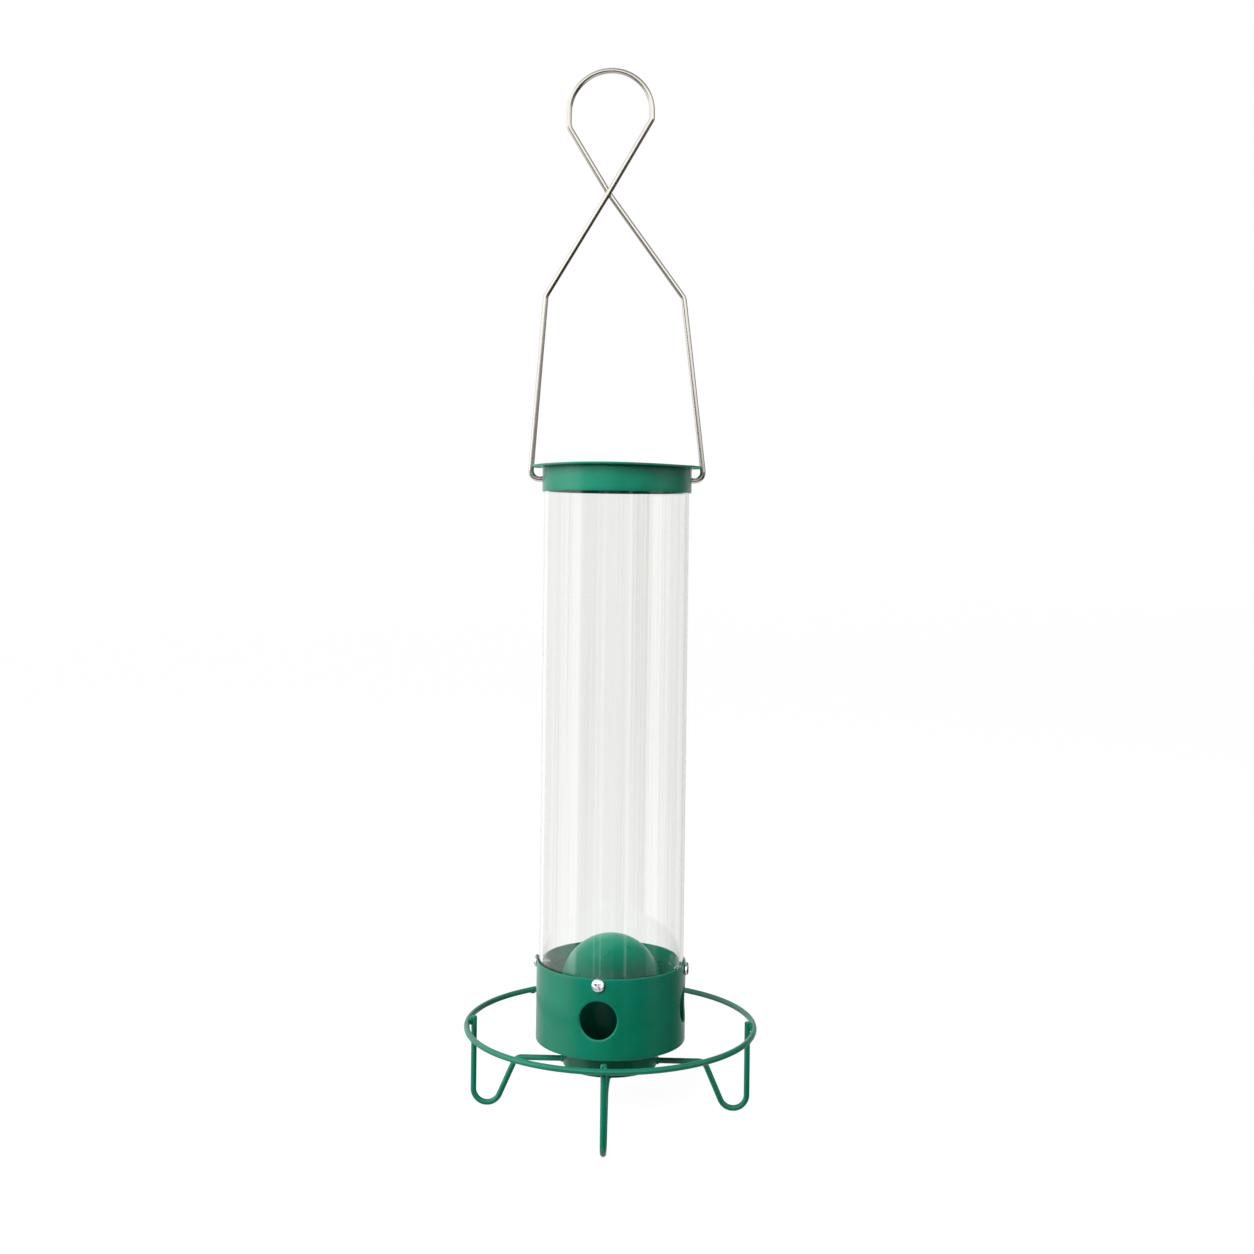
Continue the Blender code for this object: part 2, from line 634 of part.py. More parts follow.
def build():
    """Make every piece and hang the moving ones on their pivots."""
    make_tube()
    make_housing_band()
    make_housing_floor()
    make_seed_baffle()
    make_baffle_nut()
    make_pivot_bolt()
    make_housing_screws()
    bush = make_bearing()
    hub = make_perch_hub()
    ring = make_perch_ring()
    legs = make_legs()
    plate, band = make_lid()
    bail = make_bail()
    parent_on_axis("bail_pivot", BAIL_AXIS, [bail])
    parent_on_axis("lid_guide", LID_BASE, [plate, band])
    parent_on_axis("perch_pivot", HUB_TOP, [hub, bush, ring, *legs])


build()
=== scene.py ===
"""Hanging tube feeder for wild birds, in its real finishes.

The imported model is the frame: every piece here stands where its node stands and rides on that
node's body. Metres, +Z up. The bail stands in the XZ plane, and the camera looks along +Y.
"""

import json
import math

import bmesh
import bpy
import numpy as np
from bpy.props import FloatProperty, FloatVectorProperty, PointerProperty
from bpy.types import Operator, Panel, PropertyGroup
from mathutils import Matrix, Quaternion, Vector, geometry, noise


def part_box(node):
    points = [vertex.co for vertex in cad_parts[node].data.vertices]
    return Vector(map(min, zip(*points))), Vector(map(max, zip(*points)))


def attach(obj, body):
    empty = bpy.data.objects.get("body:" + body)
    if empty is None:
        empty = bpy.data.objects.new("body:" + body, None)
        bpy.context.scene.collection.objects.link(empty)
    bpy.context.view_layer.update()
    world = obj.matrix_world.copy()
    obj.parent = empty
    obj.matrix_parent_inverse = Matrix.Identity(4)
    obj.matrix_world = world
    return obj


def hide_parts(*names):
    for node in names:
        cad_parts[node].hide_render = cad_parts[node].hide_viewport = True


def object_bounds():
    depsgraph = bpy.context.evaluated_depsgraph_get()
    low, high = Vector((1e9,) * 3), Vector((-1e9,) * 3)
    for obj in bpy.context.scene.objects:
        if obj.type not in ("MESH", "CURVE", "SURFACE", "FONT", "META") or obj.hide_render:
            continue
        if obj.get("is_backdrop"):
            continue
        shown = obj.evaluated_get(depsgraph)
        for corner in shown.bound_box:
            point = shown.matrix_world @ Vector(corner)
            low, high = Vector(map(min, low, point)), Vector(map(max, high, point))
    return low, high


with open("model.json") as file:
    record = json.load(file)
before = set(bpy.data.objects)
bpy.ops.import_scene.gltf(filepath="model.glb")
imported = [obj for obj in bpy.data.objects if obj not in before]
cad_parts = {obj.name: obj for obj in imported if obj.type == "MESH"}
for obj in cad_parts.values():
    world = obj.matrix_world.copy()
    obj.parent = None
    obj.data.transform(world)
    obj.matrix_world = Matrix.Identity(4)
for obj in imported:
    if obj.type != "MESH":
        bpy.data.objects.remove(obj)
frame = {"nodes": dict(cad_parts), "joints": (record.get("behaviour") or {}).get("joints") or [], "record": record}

bl_info = {
    "name": "Hanging Tube Feeder",
    "version": (1, 0, 0),
    "blender": (4, 5, 0),
    "location": "View3D > Sidebar > Feeder",
    "description": "Finishes a bird feeder in powder coat, clear acrylic and steel wire",
    "category": "Add Mesh",
}

GAP = 0.0003                  # air between two pieces that touch
TINY = GAP / 100              # places closer than this are the same
TURNED_SIDES = 192            # sides of a piece as wide as the tube
FITTING_SIDES = 72            # sides of bolts, bushes and screws
PORT_SIDES = 96               # sides of a feeding port
HOLE_SIDES = 28               # sides of the small holes for wire and screws
DRAIN_SIDES = 32              # sides of a drain hole
WIRE_SIDES = 24
BEVEL_STEPS = 4               # facets of a rounded edge
DOME_STEPS = 30               # facets from the dome's foot to its top
CROWN_STEPS = 14              # facets of a screw's head, and of a slot's round end
DRAINS = 6                    # holes in the pan
LEGS = 4                      # legs of the perch, and screws of the housing
ARC_STEP = math.radians(5)    # angle between two points of a bend
SMOOTH_ANGLE = math.radians(38)           # edges that turn by more stay sharp
UP = Vector((0, 0, 1))
BAND_SEAM = math.pi / 4       # where the two ends of the housing's band and of the tube's wall meet
BEAD_LUMPS = ((0.16, 1.7), (0.05, 5))     # how much a weld bead swells, and how closely
SEAM_SWELL = 0.07             # how much thicker the ring is where its ends are welded together
CORE = 0.7                    # a screw's core, as a share of its crest
FACE = 0.46                   # flat face inside a hexagon's chamfer, as a share of its flats
HEX_CHAMFER = 0.7             # height of that chamfer, in pitches of the thread
BOW_START = 0.88              # where the brim's bow begins, as a share of its radius


def to_linear(code):
    """Linear colour of an sRGB hex value."""
    channels = [int(code[place:place + 2], 16) / 255 for place in (1, 3, 5)]
    return [channel / 12.92 if channel <= 0.04045 else ((channel + 0.055) / 1.055) ** 2.4
            for channel in channels]


def length(name, description, default):
    """Property for one size in metres."""
    return FloatProperty(name=name, description=description, default=default, unit='LENGTH',
                         precision=5)


def share(name, description, default):
    """Property for one value between nothing and all."""
    return FloatProperty(name=name, description=description, default=default, subtype='FACTOR',
                         min=0, max=1)


def angle(name, description, degrees):
    """Property for one angle."""
    return FloatProperty(name=name, description=description, default=math.radians(degrees),
                         subtype='ANGLE')


def colour(name, description, code):
    """Property for one colour."""
    return FloatVectorProperty(name=name, description=description, default=to_linear(code),
                               subtype='COLOR', min=0, max=1)


def amount(name, description, default):
    """Property for one plain number."""
    return FloatProperty(name=name, description=description, default=default, min=0)


def power(name, description, default):
    """Property for the power of one lamp."""
    return FloatProperty(name=name, description=description, default=default, unit='POWER')


class FeederSheetMetal(PropertyGroup):
    """Sizes of the pressed and punched pieces."""
    sheet: length("Sheet", "Steel sheet of the bands, the pan, the dome and the hub", 0.0008)
    edge: length("Coated edge", "Radius of the coat over a cut edge of the sheet", 0.00032)
    press: length("Pressed corner", "Outside radius where sheet is pressed round a corner", 0.0018)
    port: length("Port", "Diameter of a feeding port", 0.0184)
    port_rise: length("Port rise", "Port's centre above the housing's lower edge", 0.019)
    port_rim: length("Port rim", "Radius that the punch leaves round a port", 0.00074)
    drain: length("Drain", "Diameter of a drain hole", 0.0032)
    floor_lip: length("Pan lip", "Height of the pan's upturned edge", 0.0065)
    dome_wall: length("Dome wall", "Straight wall under the dome", 0.025)
    notch: length("Lid notch", "Width of the notch in the lid's brim for the bail", 0.018)
    notch_corner: length("Notch corner", "Radius of the notch's inner corners", 0.002)
    notch_land: length("Notch land", "Sheet left between a notch and the lid's band", 0.0006)
    brim_wave: length("Brim wave", "How far the hand-pressed brim bows up and down", 0.00022)


class FeederWireSizes(PropertyGroup):
    """Bends of the perch's wire and the bail's wire."""
    foot_bend: length("Foot bend", "Bend of a leg at its foot", 0.0068)
    foot_flat: length("Foot wear", "What wear takes off the bottom of a foot", 0.0002)
    arm_bend: length("Arm bend", "Bend where an arm turns down", 0.0045)
    leg_lean: angle("Leg lean", "Lean of a leg's inner run from upright", 23.6)
    perch_turn: angle("Perch turn", "Turn of the perch about its bolt", -2)
    perch_end: length("Rod end", "Radius on the cut end of a perch rod", 0.0005)
    bail_end: length("Bail end", "Radius on the cut end of the bail", 0.00035)
    bail_reach: length("Bail reach", "How far each end stands inside the tube", 0.0032)
    bail_span: length("Bail span", "Between the legs' centre lines at the axis", 0.0868)
    bail_bend: length("Hook bend", "Bend of the bail at its hooks", 0.0042)
    shoulder_span: length("Shoulder span", "Between the shoulders", 0.069)
    shoulder_rise: length("Shoulder rise", "Height of the shoulders above the axis", 0.0914)
    shoulder_shift: length("Shoulder shift", "Shoulders' middle, from the tube's axis", -0.0023)
    shoulder_bend: length("Shoulder bend", "Bend at the shoulders", 0.006)
    crossing_rise: length("Crossing rise", "Height of the crossing above the axis", 0.1432)
    crossing_shift: length("Crossing shift", "Crossing, from the tube's axis", -0.0058)
    crossing_bend: length("Crossing bend", "Slow bend of both strands at the crossing", 0.06)
    loop: length("Loop", "Diameter of the loop's centre line", 0.0416)
    loop_rise: length("Loop rise", "Height of the loop's centre above the axis", 0.1836)
    loop_shift: length("Loop shift", "Loop's centre, from the tube's axis", -0.0056)
    kink_drop: length("Kink drop", "Sharp bend on the right, below the loop's centre", 0.004)
    kink_bend: length("Kink bend", "Radius of that sharp bend", 0.002)
    corner_drop: length("Corner drop", "Soft bend on the left, below the loop's centre", 0.0068)
    corner_bend: length("Corner bend", "Radius of that soft bend", 0.006)
    weld: length("Weld bead", "Half the length of a weld bead", 0.0017)
    seam: angle("Ring seam", "Where the ring's ends are welded together", 126)


class FeederFittings(PropertyGroup):
    """Sizes of the tube, the screws and the perch's bearing."""
    tube_wall: length("Tube wall", "Wall of the clear tube", 0.0018)
    tube_edge: length("Tube edge", "Broken edge at the tube's sawn ends", 0.0002)
    screw: length("Screw", "Outside diameter of a housing screw's thread", 0.0032)
    screw_length: length("Screw length", "Screw under its head", 0.0065)
    screw_point: length("Screw point", "Tapered end of a screw", 0.002)
    screw_head: length("Screw head", "Diameter of a screw's head", 0.0064)
    screw_height: length("Screw head height", "Height of a screw's head", 0.0018)
    screw_side: length("Screw head side", "Straight side under the head's dome", 0.0006)
    screw_pitch: length("Screw pitch", "Pitch of a tapping screw's thread", 0.0012)
    recess: length("Recess", "Length of the cross recess", 0.0036)
    recess_slot: length("Recess slot", "Width of one slot of the cross recess", 0.00095)
    recess_depth: length("Recess depth", "Depth of the cross recess", 0.0023)
    bolt: length("Bolt", "Outside diameter of the perch's bolt", 0.006)
    bolt_pitch: length("Bolt pitch", "Pitch of the bolt's thread", 0.001)
    bolt_head: length("Bolt head", "Height of the bolt's head", 0.004)
    bush_wall: length("Bush wall", "Wall of the plastic bush", 0.0017)
    bush_flange: length("Bush flange", "Thickness of the bush's flange", 0.0015)


class FeederFinishes(PropertyGroup):
    """Colours and surface values of the finishes."""
    coat: colour("Powder coat", "Green polyester powder coat", "#00765C")
    coat_deep: colour("Powder coat, thick", "The same where the coat lies thicker", "#006D53")
    coat_roughness: share("Coat roughness", "Satin of the powder coat", 0.3)
    acrylic: colour("Acrylic", "Tint that light takes on at the clear wall", "#FDFDFC")
    acrylic_streak: colour("Acrylic streak", "The same along a die line", "#E9E9E5")
    acrylic_depth: colour("Acrylic depth", "What long ways through the wall let by", "#C9CCCB")
    acrylic_density: amount("Acrylic density", "Absorption of the wall for each metre", 7)
    acrylic_roughness: share("Acrylic roughness", "Roughness of the clear wall", 0.012)
    stainless: colour("Stainless", "Drawn stainless wire", "#DDD9D1")
    stainless_drawn: colour("Stainless, drawn", "The same in its drawing lines", "#CBC6BD")
    stainless_roughness: share("Stainless roughness", "Roughness of the drawn wire", 0.16)
    chrome: colour("Chrome", "Bright plated screws", "#DADCDE")
    chrome_roughness: share("Chrome roughness", "Roughness of the plating", 0.07)
    zinc: colour("Zinc", "Bright zinc on the bolt, nut and washer", "#BCC2C4")
    zinc_dull: colour("Zinc, dull", "The same where it has dulled", "#9CA1A3")
    zinc_roughness: share("Zinc roughness", "Roughness of the zinc", 0.33)
    nylon: colour("Nylon", "Natural nylon of the bush and the thrust washer", "#E6E3D6")
    nylon_roughness: share("Nylon roughness", "Roughness of the moulded nylon", 0.48)


class FeederStage(PropertyGroup):
    """Light, floor and camera."""
    paper: colour("Floor", "Pale paper floor", "#666665")
    paper_glow: share("Floor glow", "What the floor shows by itself to the camera", 0.908)
    sky: amount("Sky", "Strength of the light from all round", 1.0)
    key_power: power("Key", "Power of the soft box on the left", 5.5)
    front_power: power("Front", "Power of the soft box in front", 11.3)
    dome_power: power("Dome", "Power of the soft box over the dome", 12.5)
    screw_power: power("Screws", "Power of the soft box for the screws", 13)
    fill_power: power("Fill", "Power of the soft box on the right", 2.6)
    camera_distance: length("Camera distance", "From the tube's axis", 0.8)
    camera_height: length("Camera height", "Above the floor", 0.29)
    camera_shift: length("Camera aside", "To the right of the tube's axis", 0.0053)
    camera_tilt: angle("Camera tilt", "Down from level", 0.3)
    camera_roll: angle("Camera roll", "Turn about the line of sight", 0.71)
    lens: FloatProperty(name="Lens", description="Focal length", default=45.9,
                        subtype='DISTANCE_CAMERA')
    lens_shift: FloatProperty(name="Lens shift", description="Upwards, in widths of the picture",
                              default=-0.0715)


GROUPS = {"sheet_metal": FeederSheetMetal, "wires": FeederWireSizes, "fittings": FeederFittings,
          "finishes": FeederFinishes, "stage": FeederStage}


class FeederSettings(PropertyGroup):
    """Everything that a user would change."""
    sheet_metal: PointerProperty(type=FeederSheetMetal)
    wires: PointerProperty(type=FeederWireSizes)
    fittings: PointerProperty(type=FeederFittings)
    finishes: PointerProperty(type=FeederFinishes)
    stage: PointerProperty(type=FeederStage)


def settings():
    """The scene's feeder settings."""
    return bpy.context.scene.tube_feeder


def add_node(tree, kind, inputs=None, **values):
    """Add a node, set its properties, and set or link its inputs."""
    node = tree.nodes.new(kind)
    for name, value in values.items():
        setattr(node, name, value)
    for name, value in (inputs or {}).items():
        if isinstance(value, bpy.types.NodeSocket):
            tree.links.new(value, node.inputs[name])
        else:
            node.inputs[name].default_value = value
    return node


def grain(tree, place, size, detail=2.0, stretch=(1, 1, 1)):
    """Noise whose cells are about a size across, drawn out along an axis by a stretch."""
    scale = [1 / (size * factor) for factor in stretch]
    mapped = add_node(tree, "ShaderNodeMapping", {"Vector": place, "Scale": scale})
    return add_node(tree, "ShaderNodeTexNoise", {"Vector": mapped.outputs["Vector"], "Scale": 1.0,
                                                 "Detail": detail}).outputs["Fac"]


def ranged(tree, value, low, high, start=0.3, end=0.7):
    """Turn a texture's middle range into a range of values."""
    return add_node(tree, "ShaderNodeMapRange",
                    {"Value": value, "From Min": start, "From Max": end, "To Min": low,
                     "To Max": high}).outputs["Result"]


def blend(tree, factor, first, second):
    """Colour between two colours."""
    mix = add_node(tree, "ShaderNodeMix", data_type='RGBA')
    tree.links.new(factor, mix.inputs["Factor"])
    for name, value in (("A", first), ("B", second)):
        socket = next(s for s in mix.inputs if s.name == name and s.type == 'RGBA')
        if isinstance(value, bpy.types.NodeSocket):
            tree.links.new(value, socket)
        else:
            socket.default_value = (*value, 1)
    return next(s for s in mix.outputs if s.type == 'RGBA')


def both(tree, first, second, operation='MULTIPLY'):
    """Result of a math node on two values."""
    return add_node(tree, "ShaderNodeMath", {0: first, 1: second},
                    operation=operation).outputs["Value"]


def relief(tree, height, depth, below=None):
    """Bump whose full height is a depth in metres, over another bump if there is one."""
    inputs = {"Height": height, "Distance": depth, "Strength": 1.0}
    if below is not None:
        inputs["Normal"] = below
    return add_node(tree, "ShaderNodeBump", inputs).outputs["Normal"]


def connect(tree, surface, **sockets):
    """Link values to the surface shader's inputs, named with _ for a space."""
    for name, value in sockets.items():
        tree.links.new(value, surface.inputs[name.replace("_", " ")])


def satin_powder_coat(tree, surface):
    """Polyester powder coat on steel, sprayed dry and baked."""
    # Baked powder flows out into an even colour with soft-edged highlights and a fine orange
    # peel. It lies thicker in some places, where it is a little deeper in colour.
    finishes = settings().finishes
    place = add_node(tree, "ShaderNodeTexCoord").outputs["Object"]
    thick = ranged(tree, grain(tree, place, 0.014, detail=3), 0, 1)
    surface.inputs["IOR"].default_value = 1.5
    # Orange peel is about 2 mm across here. Real peel on this coat is half that, which is too
    # fine to show.
    peel = grain(tree, place, 0.002, detail=1)
    connect(tree, surface,
            Base_Color=blend(tree, thick, finishes.coat, finishes.coat_deep),
            Roughness=ranged(tree, grain(tree, place, 0.006), finishes.coat_roughness - 0.03,
                             finishes.coat_roughness + 0.04),
            Normal=relief(tree, peel, 0.000014))


def extruded_acrylic(tree, surface):
    """Clear acrylic tube, drawn hot through a die."""
    # The die leaves fine lines along the tube, which show as streaks in what it reflects, and
    # faint grey lines in what is seen through it. Its sawn ends look greyer, because light goes
    # a long way through the wall there.
    finishes = settings().finishes
    place = add_node(tree, "ShaderNodeTexCoord").outputs["Object"]
    # Die lines are 1.3 mm and 6 mm wide and run along the whole tube. Real ones are finer than
    # can show.
    fine = grain(tree, place, 0.0013, detail=2, stretch=(1, 1, 260))
    broad = grain(tree, place, 0.006, detail=1, stretch=(1, 1, 90))
    surface.inputs["IOR"].default_value = 1.49
    surface.inputs["Transmission Weight"].default_value = 1.0
    some = ranged(tree, grain(tree, place, 0.016, stretch=(1, 1, 30)), 0, 1, start=0.45, end=0.65)
    streak = both(tree, ranged(tree, fine, 0, 1, start=0.5, end=0.72), some)
    connect(tree, surface,
            Base_Color=blend(tree, streak, finishes.acrylic, finishes.acrylic_streak),
            Roughness=ranged(tree, fine, 0, finishes.acrylic_roughness),
            Normal=relief(tree, fine, 0.000008, relief(tree, broad, 0.00002)))
    depth = add_node(tree, "ShaderNodeVolumeAbsorption",
                     {"Color": (*finishes.acrylic_depth, 1), "Density": finishes.acrylic_density})
    output = next(node for node in tree.nodes if node.type == 'OUTPUT_MATERIAL')
    tree.links.new(depth.outputs["Volume"], output.inputs["Volume"])


def drawn_stainless(tree, surface):
    """Stainless steel wire, drawn cold through a die."""
    # Drawing leaves fine bright and dull lines along the wire, so highlights run along it in
    # broken streaks.
    finishes = settings().finishes
    along = add_node(tree, "ShaderNodeAttribute", attribute_name="along").outputs["Vector"]
    # Lines are 1.6 mm apart and some 95 mm long. Real drawing lines are finer than can show.
    lines = grain(tree, along, 0.0016, detail=0, stretch=(1, 1, 60))
    patches = grain(tree, along, 0.006, detail=1, stretch=(1, 1, 8))
    surface.inputs["Metallic"].default_value = 1.0
    rough = ranged(tree, lines, finishes.stainless_roughness - 0.04,
                   finishes.stainless_roughness + 0.04)
    connect(tree, surface,
            Base_Color=blend(tree, ranged(tree, lines, 0, 1), finishes.stainless,
                             finishes.stainless_drawn),
            Roughness=both(tree, rough, ranged(tree, patches, 0, 0.04), 'ADD'),
            Normal=relief(tree, lines, 0.000004))


def chrome_plate(tree, surface):
    """Bright decorative chrome on the screws."""
    # Plating is mirror-like, and it shows faint hairlines, 0.4 mm apart, from the driver.
    finishes = settings().finishes
    place = add_node(tree, "ShaderNodeTexCoord").outputs["Object"]
    hair = grain(tree, place, 0.0004, detail=3, stretch=(1, 8, 1))
    surface.inputs["Metallic"].default_value = 1.0
    surface.inputs["Base Color"].default_value = (*finishes.chrome, 1)
    connect(tree, surface,
            Roughness=ranged(tree, hair, finishes.chrome_roughness - 0.03,
                             finishes.chrome_roughness + 0.06),
            Normal=relief(tree, hair, 0.000002))


def bright_zinc(tree, surface):
    """Zinc plate on the bolt, the nut and the washer, clear passivated."""
    # Thin plate over rolled steel: a soft bluish shine that dulls in patches of 2.5 mm.
    finishes = settings().finishes
    place = add_node(tree, "ShaderNodeTexCoord").outputs["Object"]
    dull = grain(tree, place, 0.0025, detail=4)
    surface.inputs["Metallic"].default_value = 1.0
    connect(tree, surface,
            Base_Color=blend(tree, ranged(tree, dull, 0, 1), finishes.zinc, finishes.zinc_dull),
            Roughness=ranged(tree, dull, finishes.zinc_roughness - 0.08,
                             finishes.zinc_roughness + 0.12),
            Normal=relief(tree, grain(tree, place, 0.0003), 0.000006))


def natural_nylon(tree, surface):
    """Natural nylon, moulded and left uncoloured."""
    # Waxy and a little translucent, with the fine matt texture of a spark-eroded mould.
    finishes = settings().finishes
    place = add_node(tree, "ShaderNodeTexCoord").outputs["Object"]
    cloud = grain(tree, place, 0.003, detail=2)
    surface.inputs["IOR"].default_value = 1.53
    surface.inputs["Subsurface Weight"].default_value = 0.15
    surface.inputs["Subsurface Scale"].default_value = 0.001
    deep = [channel * 0.93 for channel in finishes.nylon]
    connect(tree, surface,
            Base_Color=blend(tree, ranged(tree, cloud, 0, 1), finishes.nylon, deep),
            Roughness=ranged(tree, cloud, finishes.nylon_roughness - 0.05,
                             finishes.nylon_roughness + 0.05),
            Normal=relief(tree, grain(tree, place, 0.0004), 0.00001))


SLOTS = {"green_coat": satin_powder_coat, "clear_tube": extruded_acrylic,
         "wire_steel": drawn_stainless, "screw_chrome": chrome_plate, "zinc_steel": bright_zinc,
         "nylon": natural_nylon}


def finish(slot):
    """The material of one slot, made the first time it is asked for."""
    build = SLOTS[slot]
    found = bpy.data.materials.get(build.__name__)
    if found is None:
        found = bpy.data.materials.new(build.__name__)
        found.use_nodes = True
        build(found.node_tree, found.node_tree.nodes["Principled BSDF"])
    return found


def body_of(node):
    """The body that carries a node."""
    for body, members in frame["record"]["behaviour"]["bodies"].items():
        if node in members:
            return body
    raise RuntimeError(f"no body carries {node}")


def add_piece(name, mesh, slot, carrier, stands_for=True, matrix=None):
    """Show a mesh as a piece in a slot's finish. It rides with its carrier node, and mostly
    stands for it."""
    mesh.shade_smooth()
    mesh.set_sharp_from_angle(angle=SMOOTH_ANGLE)
    mesh.materials.append(finish(slot))
    piece = bpy.data.objects.new(name, mesh)
    if matrix is not None:
        piece.matrix_world = matrix
    bpy.context.scene.collection.objects.link(piece)
    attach(piece, body_of(carrier))
    if stands_for:
        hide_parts(carrier)
    return piece


def to_mesh(name, shape):
    """Mesh from a closed bmesh, with its faces turned outwards."""
    bmesh.ops.recalc_face_normals(shape, faces=shape.faces)
    mesh = bpy.data.meshes.new(name)
    shape.to_mesh(mesh)
    shape.free()
    return mesh


def bent(corners, closed=False):
    """Points along straight runs and bends. A corner is a place and the radius it is bent to."""
    places, radii = zip(*[(Vector(place), radius) for place, radius in corners])
    points = []
    for number, (corner, radius) in enumerate(zip(places, radii)):
        if not radius or (not closed and number in (0, len(places) - 1)):
            points.append(corner)
            continue
        back = (places[number - 1] - corner).normalized()
        ahead = (places[(number + 1) % len(places)] - corner).normalized()
        opening = back.angle(ahead)
        centre = corner + (back + ahead).normalized() * (radius / math.sin(opening / 2))
        spoke = corner + back * (radius / math.tan(opening / 2)) - centre
        sweep_angle = math.pi - opening
        steps = max(2, math.ceil(sweep_angle / ARC_STEP))
        axis = back.cross(ahead).normalized()
        for step in range(steps + 1):
            points.append(centre + Quaternion(axis, -sweep_angle * step / steps) @ spoke)
    return points


def bridge(shape, first, second):
    """Faces between two rings of points, either of which may be a single point."""
    count = max(len(first), len(second))
    for number in range(count):
        after = number + 1
        corners = [first[number % len(first)], second[number % len(second)],
                   second[after % len(second)], first[after % len(first)]]
        shape.faces.new(list(dict.fromkeys(corners)))


def lathe(name, profile, sides, form=None):
    """Closed mesh turned about Z from a profile in XZ. Form may change the radius round it."""
    shape = bmesh.new()
    rings = []
    for point in profile:
        count = sides if point.x > TINY else 1
        ring = []
        for side in range(count):
            turn = math.tau * side / sides
            reach = form(point.x, point.z, turn) if form and count > 1 else point.x
            ring.append(shape.verts.new((reach * math.cos(turn), reach * math.sin(turn), point.z)))
        rings.append(ring)
    if len(rings[0]) > 1:
        rings.append(rings[0])
    for first, second in zip(rings, rings[1:]):
        bridge(shape, first, second)
    return to_mesh(name, shape)


def flat_profile(corners):
    """Closed profile in XZ from corners given as radius, height and bend."""
    return bent([((radius, 0, height), bend) for radius, height, bend in corners], closed=True)


def heading(places, number, closed):
    """Direction of a line of places at one of them, some of which may coincide."""
    count = len(places)
    for reach in range(1, count):
        if closed:
            ahead = places[(number + reach) % count] - places[number - reach]
        else:
            ahead = places[min(count - 1, number + reach)] - places[max(0, number - reach)]
        if ahead.length > TINY:
            return ahead.normalized()
    raise RuntimeError("all places of a line are the same")


def sweep(name, stations, sides, closed=False):
    """Round bar through stations, each a place and a radius, with the way along it stored."""
    shape = bmesh.new()
    along = shape.verts.layers.float_vector.new("along")
    places = [place for place, radius in stations]
    way = 0
    rings = []
    side_way = None
    for number, (place, radius) in enumerate(stations):
        ahead = heading(places, number, closed)
        if side_way is None:
            side_way = ahead.orthogonal().normalized()
        side_way = (side_way - ahead * side_way.dot(ahead)).normalized()
        other = ahead.cross(side_way)
        way += (place - places[number - 1]).length if number else 0
        ring = []
        for side in range(sides if radius else 1):
            turn = math.tau * side / sides
            reach = (side_way * math.cos(turn) + other * math.sin(turn)) * radius
            point = shape.verts.new(place + reach)
            point[along] = (radius * math.cos(turn), radius * math.sin(turn), way)
            ring.append(point)
        rings.append(ring)
    if closed:
        rings.append(rings[0])
    for first, second in zip(rings, rings[1:]):
        bridge(shape, first, second)
    return to_mesh(name, shape)


def round_ends(points, radius, edge):
    """Stations of a wire whose cut ends are rounded over."""
    stations = [(point, radius) for point in points]
    for end, inner in ((0, 1), (-1, -2)):
        outward = (points[end] - points[inner]).normalized()
        cap = []
        for step in range(BEVEL_STEPS + 1):
            turn = math.pi / 2 * step / BEVEL_STEPS
            cap.append((points[end] - outward * edge * (1 - math.sin(turn)),
                        radius - edge * (1 - math.cos(turn))))
        cap.append((points[end], 0))
        if end:
            stations = stations[:-1] + cap
        else:
            stations = cap[::-1] + stations[1:]
    return stations


def contains(loop, points):
    """Which points lie inside a closed loop, both in the plane."""
    start = np.array(loop)
    end = np.roll(start, -1, axis=0)
    x, y = points[:, :1], points[:, 1:]
    spans = (start[:, 1] > y) != (end[:, 1] > y)
    rise = end[:, 1] - start[:, 1]
    # A level side is never crossed, so any rise does for it.
    rise[rise == 0] = 1
    crossing = start[:, 0] + (y - start[:, 1]) / rise * (end[:, 0] - start[:, 0])
    return (spans & (x < crossing)).sum(axis=1) % 2 == 1


def in_sheet(outline, holes, points):
    """Which points lie inside an outline and outside its holes."""
    inside = contains(outline, points)
    for hole in holes:
        inside &= ~contains(hole, points)
    return inside


def divided(loop, step):
    """The same closed loop with its long sides divided into steps."""
    points = []
    for first, second in zip(loop, loop[1:] + loop[:1]):
        first, second = Vector(first), Vector(second)
        parts = max(1, round((second - first).length / step))
        points += [tuple(first.lerp(second, part / parts)) for part in range(parts)]
    return points


def on_rim(edge):
    """Whether an edge of a flat plate is a corner of its upper or lower face."""
    if len(edge.link_faces) != 2:
        return False
    facing = edge.link_faces[0].normal.dot(edge.link_faces[1].normal)
    rise = edge.verts[0].co.z - edge.verts[1].co.z
    return abs(facing) < 0.5 and abs(rise) < TINY * 10


